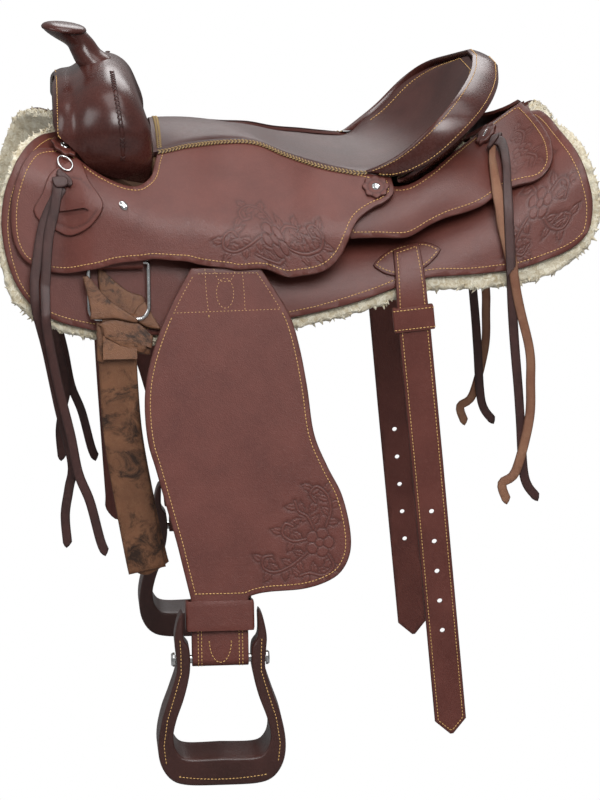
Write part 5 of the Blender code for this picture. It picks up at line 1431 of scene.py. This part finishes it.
def tied(name, spot, surface, lift):
    """Two short wraps of lace crossing over each other."""
    parts = []
    for n, (angle, high) in enumerate(((0.5, 3.0), (-0.45, 5.2))):
        way, side = Vector((cos(angle), sin(angle))), Vector((-sin(angle), cos(angle)))
        middle = Vector(spot) + Vector((2.5 - 5 * n, -2.5 + 6 * n))
        outline = [middle + way * u + side * v for u, v in ((-9, -3.5), (-4, -5), (4, -5), (9, -3), (10, 1), (7, 4.5), (0, 5.5), (-8, 4))]
        sheet = cut_sheet(f"{name}_{n}", [tuple(p) for p in outline], 3.0, cell=2.5, edge=1.4, step=2)
        parts.append(lay_on(sheet, surface, lift + high))
    return joined(*parts)


for far, names in ((1, ("left", "front_string", "rear_string")), (-1, ("right", "front_string", "rear_string"))):
    side = names[0]
    front_lift = ON_HOLDER if far > 0 else ON_JOCKEY
    drop = 52 + 16 + 8.5 + 1.2 + 1.0
    rear_lift = BACK_THICK + GAP + 2.4
    made = []
    for name, lines, table, fold, lift, spot in (
            ("front_string", (FRONT_STRING, FRONT_STRING_BACK), SEAT_JOCKEY_LINE, 60, front_lift, (-291, drop + 21.2)),
            ("rear_string", (REAR_STRING, REAR_STRING_BACK), BACK_JOCKEY_LINE, 75, rear_lift, (225, 46))):
        surface = SEAT_SIDE if name == "front_string" else BACK_SIDE
        top = lace(f"{name}_near", lines[0], table, fold, lift + STRING_THICK + GAP, 1)
        low = lace(f"{name}_fold_near", lines[1], table, fold, lift, -1)
        top = joined(top, tied(f"{name}_knot", spot, surface, lift))
        made += [(top, lace_look, name, True), (low, flesh_look if name == "rear_string" else lace_look, name, False)]
    circle = [SEAT_SIDE(-287 + 8.5 * cos(a), drop + 8.5 * sin(a), front_lift + 1.2) for a in (pi * n / 20 for n in range(40))]
    made.append((tube("string_ring_near", circle, 1.2, 10), steel, "string_ring", True))
    for thing, look, name, stands in made:
        body = f"{name}_{side}" if name != "string_ring" else f"front_string_{side}"
        nodes = [f"{name}_{side}"] if stands else []
        if far > 0:
            dress(thing, look, body, nodes)
        else:
            other_side(thing, look, body, nodes)
            bpy.data.objects.remove(thing)

# %% [markdown]
# The swell is one hide stretched over the wooden fork, so its skin is a smooth surface drawn through
# the fork's sections. A laced welt runs down the middle of each bulge, and the hide is bound with
# a stitched edge in front.

# %% Swell
FORK_FRONT, FORK_BACK = -294, -193
ARCH_OUT = [(108, 30), (136, 57), (151, 86), (152, 110), (138, 134), (109, 150), (68, 158), (30, 161), (0, 162)]
ARCH_IN = [(86, 30), (88, 50), (90, 68), (88, 82), (81, 94), (66, 105), (46, 112), (20, 116), (0, 117)]
SWELL_RING = [
    (0.02, 0.0), (-0.01, 0.25), (-0.02, 0.50), (0.06, 0.62), (0.20, 0.68), (0.36, 0.88),
    (0.62, 1.0), (0.88, 0.94), (1.03, 0.70), (1.03, 0.35), (0.92, 0.0),
]
BAR_TOP = ON_SKIRT + BAR_THICK


def refine_grid(grid, rows, columns):
    """A smooth grid through a coarse one."""
    wide = [smooth_line([tuple(p) for p in row], columns) for row in grid]
    turned = list(zip(*wide))
    return list(zip(*[smooth_line([tuple(p) for p in row], rows) for row in turned]))


def grid_normals(grid):
    spots = np.array([[tuple(p) for p in row] for row in grid])
    a = np.gradient(spots, axis=0)
    b = np.gradient(spots, axis=1)
    out = np.cross(a, b)
    return spots, out / np.maximum(np.linalg.norm(out, axis=2, keepdims=True), 1e-9)


def grid_shell(name, outer, inner, closed_row=False):
    """A closed shell between an outer and an inner grid of points in millimetres."""
    rows, columns = outer.shape[:2]
    spots = np.concatenate([outer.reshape(-1, 3), inner.reshape(-1, 3)]) * MM
    half, faces = rows * columns, []
    for r in range(rows - 1):
        for c in range(columns - 1 + closed_row):
            d = (c + 1) % columns
            a, b, e, f = r * columns + c, r * columns + d, (r + 1) * columns + d, (r + 1) * columns + c
            faces += [(a, b, e, f), (half + f, half + e, half + b, half + a)]
    for c in range(columns - 1 + closed_row):
        d = (c + 1) % columns
        for r, order in ((0, 1), (rows - 1, -1)):
            faces.append((r * columns + c, half + r * columns + c, half + r * columns + d, r * columns + d)[::order])
    if not closed_row:
        for r in range(rows - 1):
            for c, order in ((0, -1), (columns - 1, 1)):
                a, b = r * columns + c, (r + 1) * columns + c
                faces.append((a, half + a, half + b, b)[::order])
    mesh = bpy.data.meshes.new(name)
    mesh.from_pydata(spots.tolist(), [], faces)
    thing = bpy.data.objects.new(name, mesh)
    bpy.context.scene.collection.objects.link(thing)
    return face_out(thing, 50)


def rosette_room(x):
    return 12.5 * min(max((-255 - x) / 20, 0), 1)


def over_bars(name, reach, more=None):
    """A cutting tool as high as the bars, all the way over the horse between two x."""
    top = []
    for x in [reach[0] + (reach[1] - reach[0]) * n / 12 for n in range(13)]:
        lift = BAR_TOP + 1.2 + (more(x) if more else 0)
        half = [HORSE(x, distance, lift) for distance in (2, 60, 96, 112, 126, 140)]
        row = [(p.x, p.y, p.z) for p in reversed(half)] + [(p.x, -p.y, p.z) for p in half]
        top.append(row)
    top = np.array(top)
    low = top.copy()
    low[:, :, 2] = -60
    return grid_shell(name, top, low)


stations = list(range(2 * len(ARCH_OUT) - 1))
coarse = []
for station in stations:
    sign = -1 if station < 8 else 1
    index = station if station < 8 else 16 - station
    out, inner = ARCH_OUT[index], ARCH_IN[index]
    coarse.append([(FORK_FRONT + (FORK_BACK - FORK_FRONT) * back, sign * (inner[0] + (out[0] - inner[0]) * reach),
                    inner[1] + (out[1] - inner[1]) * reach) for back, reach in SWELL_RING])


def swept(p):
    """The swell's back slopes forward towards its top."""
    x, y, z = p
    share = min(max((z - 95) / 70, 0), 1)
    return (min(x, -245) + max(x + 245, 0) * (1 - 0.45 * share), y, z)


coarse = [[swept(p) for p in row] for row in coarse]
skin, out = grid_normals(refine_grid(coarse, 5, 5))
if out[len(skin) // 2, skin.shape[1] // 2, 2] < 0:
    out = -out
swell = grid_shell("swell_hide", skin + out * 3.8, skin + out * 1.2)
swell_bed = over_bars("swell_bed", (-320, -170), rosette_room)
cut_away(swell, swell_bed)
fork = loft("fork_wood", [[Vector(p) for p in row] for row in skin[::2, ::2]])
cut_away(fork, swell_bed)
dress(face_out(fork), wood, "saddle", ["fork"])
bpy.data.objects.remove(swell_bed)
face_out(swell, 50)
dress(swell, glazed, "saddle", ["swell_cover"])
top_skin = skin + out * 3.8
welts, laces, bindings = [], [], []
for side in (1, -1):
    rows = range(7, 30)
    path = [Vector(top_skin[r if side > 0 else len(skin) - 1 - r, 32]) for r in rows]
    welt = tube("swell_welt", path, lambda t: 2.6 * min(1, 8 * t + 0.2, 8 * (1 - t) + 0.2), 10, closed=False, flat=0.55,
                normal=lambda p: (p - Vector((p.x, 0, 70))).normalized())
    welts.append(welt)
    laces.append(path)
    bindings.append([Vector(top_skin[r if side > 0 else len(skin) - 1 - r, 13]) for r in range(12, 38)])
welt = joined(*welts)
welt.name = "swell_welts"
dress(welt, glazed, "saddle")
for name, turn in (("swell_lacing", 40), ("swell_lacing_back", -40)):
    dress(sew(name, welt, laces, pitch=6.0, long=9.5, wide=2.0, lean=radians(turn), lift=0.3, gauge=0.9), lace_look, "saddle")
dress(sew("swell_binding", swell, bindings, pitch=4.0, long=3.0, wide=1.0), thread, "saddle")

# %% [markdown]
# The horn has a steel core, a neck wrapped in leather and a flat cap. The neck is a tube of rings
# that narrows at its waist, and the cap is a profile spun round the horn's axis.

# %% Horn
HORN_NECK = [
    (-243, 150, 18, 30, 0), (-248, 162, 22, 26, -5), (-258, 174, 18, 20.5, -4), (-264.5, 184, 16.5, 18, -9),
    (-276, 193.5, 19.5, 20.5, -8), (-284, 199.5, 23.5, 24, 2), (-285.5, 203, 24, 25, 7),
]
neck = []
for x, z, long, wide, turn in smooth_line(HORN_NECK, 5):
    ring = [2 * pi * n / 48 for n in range(48)]
    neck.append([[(x + (long - cut) * cos(a) * cos(radians(turn)), (wide - cut) * sin(a),
                   z - (long - cut) * cos(a) * sin(radians(turn))) for a in ring] for cut in (0.0, 4.0)])
neck = np.array(neck)
horn_neck = grid_shell("horn_neck", neck[:, 0], neck[:, 1], closed_row=True)
dress(horn_neck, glazed, "saddle", ["horn_neck_cover"])

alone()
profile = [(0, 9.9), (0.25, 9.8), (0.45, 9.6), (0.65, 9.0), (0.8, 8.1), (0.9, 6.9), (0.96, 5.5), (0.99, 4.2), (1.0, 3.2),
           (0.985, 1.8), (0.95, 0.8), (0.88, 0.2), (0.8, 0), (0, 0)]
mesh = bpy.data.meshes.new("horn_cap_hide")
mesh.from_pydata([(r * 29 * MM, 0, z * MM) for r, z in profile], [(n, n + 1) for n in range(len(profile) - 1)], [])
cap = bpy.data.objects.new("horn_cap_hide", mesh)
bpy.context.scene.collection.objects.link(cap)
alone(cap)
bpy.ops.object.mode_set(mode="EDIT")
bpy.ops.mesh.select_all(action="SELECT")
bpy.ops.mesh.spin(steps=64, angle=2 * pi, center=(0, 0, 0), axis=(0, 0, 1), use_auto_merge=True)
bpy.ops.mesh.select_all(action="SELECT")
bpy.ops.mesh.remove_doubles(threshold=0.00001)
bpy.ops.object.mode_set(mode="OBJECT")
tilt = Matrix.Rotation(radians(7), 4, "Y")
for vert in cap.data.vertices:
    vert.co.x *= 0.94
    vert.co = tilt @ vert.co + Vector((-284, 0, 198.2)) * MM
face_out(cap, 50)
dress(cap, glazed, "saddle", ["horn_cap"])
keep_solid(steel, "horn_post")
keep_solid(wood, "tree_bar_left", "tree_bar_right", "cantle_board")

# %% [markdown]
# The seat is a stuffed pad from the swell to the top of the cantle. Its skin follows the rows of the
# seat and is drawn in round its edge, as stuffed leather is. A narrow edge of the same leather lies
# on the jockey below it, with rows of gold rope.

# %% Seat
SEAT_ROWS = [
    (-182, 99, 71, -182, 94), (-141, 85, 76, -139, 90), (-95, 62, 75, -96, 84),
    (-59, 62, 73, -61, 75), (-25, 88, 63, -25, 61), (9, 113, 56, 12, 50), (38, 126, 51, 49, 43),
    (68, 134, 50, 84, 41), (90, 150, 63, 121, 48), (113, 158, 80, 151, 64),
    (143, 160, 109, 173, 91), (169, 135, 129, 187, 118), (193, 75, 147, 198, 143),
    (203, 22, 159, 204, 158),
]
ROLL_EDGE = [
    (79, 139, 49), (104, 153, 47), (138, 163, 61), (169, 165, 85), (202, 150, 111),
    (226, 86, 131), (235, 24, 146),
]
SEAT_THICK, PAD_CROWN = 10, 5


def seat_skin(first, last, shares, steps):
    rows = smooth_line([row[:3] for row in SEAT_ROWS], steps)
    middles = smooth_line([(row[3], 0, row[4]) for row in SEAT_ROWS], steps)
    grid = []
    for n in range(first * steps, last * steps + 1):
        edge_x, half, edge_z = rows[n]
        middle = middles[n]
        grid.append([(middle.x + (edge_x - middle.x) * abs(s) ** 2.2, half * s,
                      middle.z + (edge_z - middle.z) * abs(s) ** 2.2) for s in shares])
    return grid


SHARES = [sin(pi / 2 * n / 16) * 0.35 + n / 16 * 0.65 for n in range(-16, 17)]
pad_skin, pad_out = grid_normals(seat_skin(0, 13, SHARES, 5))
if pad_out[20, 16, 2] < 0:
    pad_out = -pad_out
rows, columns = pad_skin.shape[:2]
ends = np.minimum(np.arange(rows), rows - 1 - np.arange(rows)) / 5
pinch = np.maximum(np.clip((np.abs(np.array(SHARES)) - 0.8) / 0.2, 0, 1)[None, :], np.clip(1 - ends / 2, 0, 1)[:, None]) ** 2
upper = pad_skin - pad_out * PAD_CROWN * pinch[..., None]
pad = grid_shell("seat_cushion", upper, pad_skin - pad_out * SEAT_THICK)
dress(pad, seat_look, "saddle", ["seat_pad"])
print("pad faces", len(pad.data.polygons))

SEAT_EDGE = [
    (-177, 3, CORNER), (-178, 12, CORNER), (-140, 11), (-95, 10), (-59, 10), (-25, 10), (9, 11), (38, 9.5), (54, 8),
    (66, 5), (94, 3, CORNER), (64, 2, CORNER), (36, 2), (8, 2), (-25, 2), (-58, 2), (-95, 2), (-139, 2),
]
edge = cut_sheet("seat_edge_near", SEAT_EDGE, 1.4, cell=7, edge=0.5)
lay_on(edge, SEAT_SIDE, JOCKEY_THICK + 0.15)
both_sides(edge, seat_look, "saddle", [])
low_edge = [p[:2] for p in SEAT_EDGE[1:10]]
for name, inset, turn in (("seat_rope_low", 0.4, 36), ("seat_rope_high", 3.6, -36)):
    line = [SEAT_SIDE(p.x, max(p.y - inset, 1), JOCKEY_THICK + 1.5) for p in smooth_line(low_edge, 8)]
    rope = sew(f"{name}_near", edge, [line], pitch=4.4, long=5.0, wide=1.8, lean=radians(turn), gauge=1.0)
    both_sides(rope, cord_thread, "saddle", [])
line = [Vector(upper[r, 2]) for r in range(41, rows - 3)]
line += [Vector(upper[rows - 4, c]) for c in range(3, columns - 3)]
line += [Vector(upper[r, columns - 3]) for r in range(rows - 4, 40, -1)]
dress(sew("cantle_inner_stitches", pad, [line], pitch=4.2, long=3.1, wide=1.0), thread, "saddle")
for name, shift, turn in (("seat_rope_front", 0, 36), ("seat_rope_front_back", 3.4, -36)):
    rises = [[Vector(upper[1, c]) + Vector((shift, 0, 0)) for c in range(1, columns - 1)]]
    dress(sew(name, pad, rises, pitch=4.4, long=5.0, wide=1.8, lean=radians(turn), gauge=1.0), cord_thread, "saddle")
keep_solid(backing, "ground_seat")

# %% [markdown]
# The cantle's wooden back is covered in leather, and a flat roll is bound round its rim.

# %% Cantle
BOARD_SHARES = [n / 14 for n in range(-14, 15)]
back_skin, back_out = grid_normals(seat_skin(8, 13, BOARD_SHARES, 6))
if back_out[15, 14, 2] < 0:
    back_out = -back_out
deep = SEAT_THICK + 13 + 10 * GAP
cantle = grid_shell("cantle_hide", back_skin - back_out * (deep + 4), back_skin - back_out * deep)
bed = over_bars("cantle_bed", (90, 240))
cut_away(cantle, bed)
bpy.data.objects.remove(bed)
ROLL_ROOM, ROLL_THICK, HEART = 3.2, 8, Vector((175, 0, 85))


def roll_rings(section, steps):
    rim = smooth_line([row[:3] for row in SEAT_ROWS[7:]], steps)
    edge = smooth_line(ROLL_EDGE, steps)
    half = []
    for n, (inner, outer) in enumerate(zip(rim, edge)):
        way = (rim[min(n + 1, len(rim) - 1)] - rim[max(n - 1, 0)]).normalized()
        over = outer - inner
        away = inner - HEART
        for line in (way, over.normalized()):
            away -= line * away.dot(line)
        away.normalize()
        half.append([inner + over * share + away * high for share, high in section])
    other = [[Vector((p.x, -p.y, p.z)) for p in ring] for ring in reversed(half)]
    return half + other


low, high = ROLL_ROOM - 10 * GAP, ROLL_ROOM + ROLL_THICK + 6
room = loft("roll_room", roll_rings([(-0.2, low), (-0.2, high), (1.3, high), (1.3, low)], 2))
cut_away(cantle, room)
bpy.data.objects.remove(room)
face_out(cantle, 50)
dress(cantle, glazed, "saddle", ["cantle_back"])
section = [(0.5 - 0.5 * cos(a) * (1 - 0.03 * cos(2 * a)), ROLL_ROOM + ROLL_THICK * (0.5 + 0.5 * sin(a))) for a in (2 * pi * n / 24 for n in range(24))]
roll = loft("cantle_binding", roll_rings(section, 6))
dress(roll, glazed, "saddle", ["cantle_roll"])
seams = [[ring[0] for ring in roll_rings([(share, ROLL_ROOM + ROLL_THICK + 1)], 6)][2:-2]
         for share in (0.14, 0.86)]
dress(sew("cantle_roll_stitches", roll, seams, pitch=4.2, long=3.1, wide=1.0), thread, "saddle")
print("cantle faces", len(cantle.data.polygons), len(roll.data.polygons))

# %% [markdown]
# Last, nothing is left selected.

# %% Closing
alone()
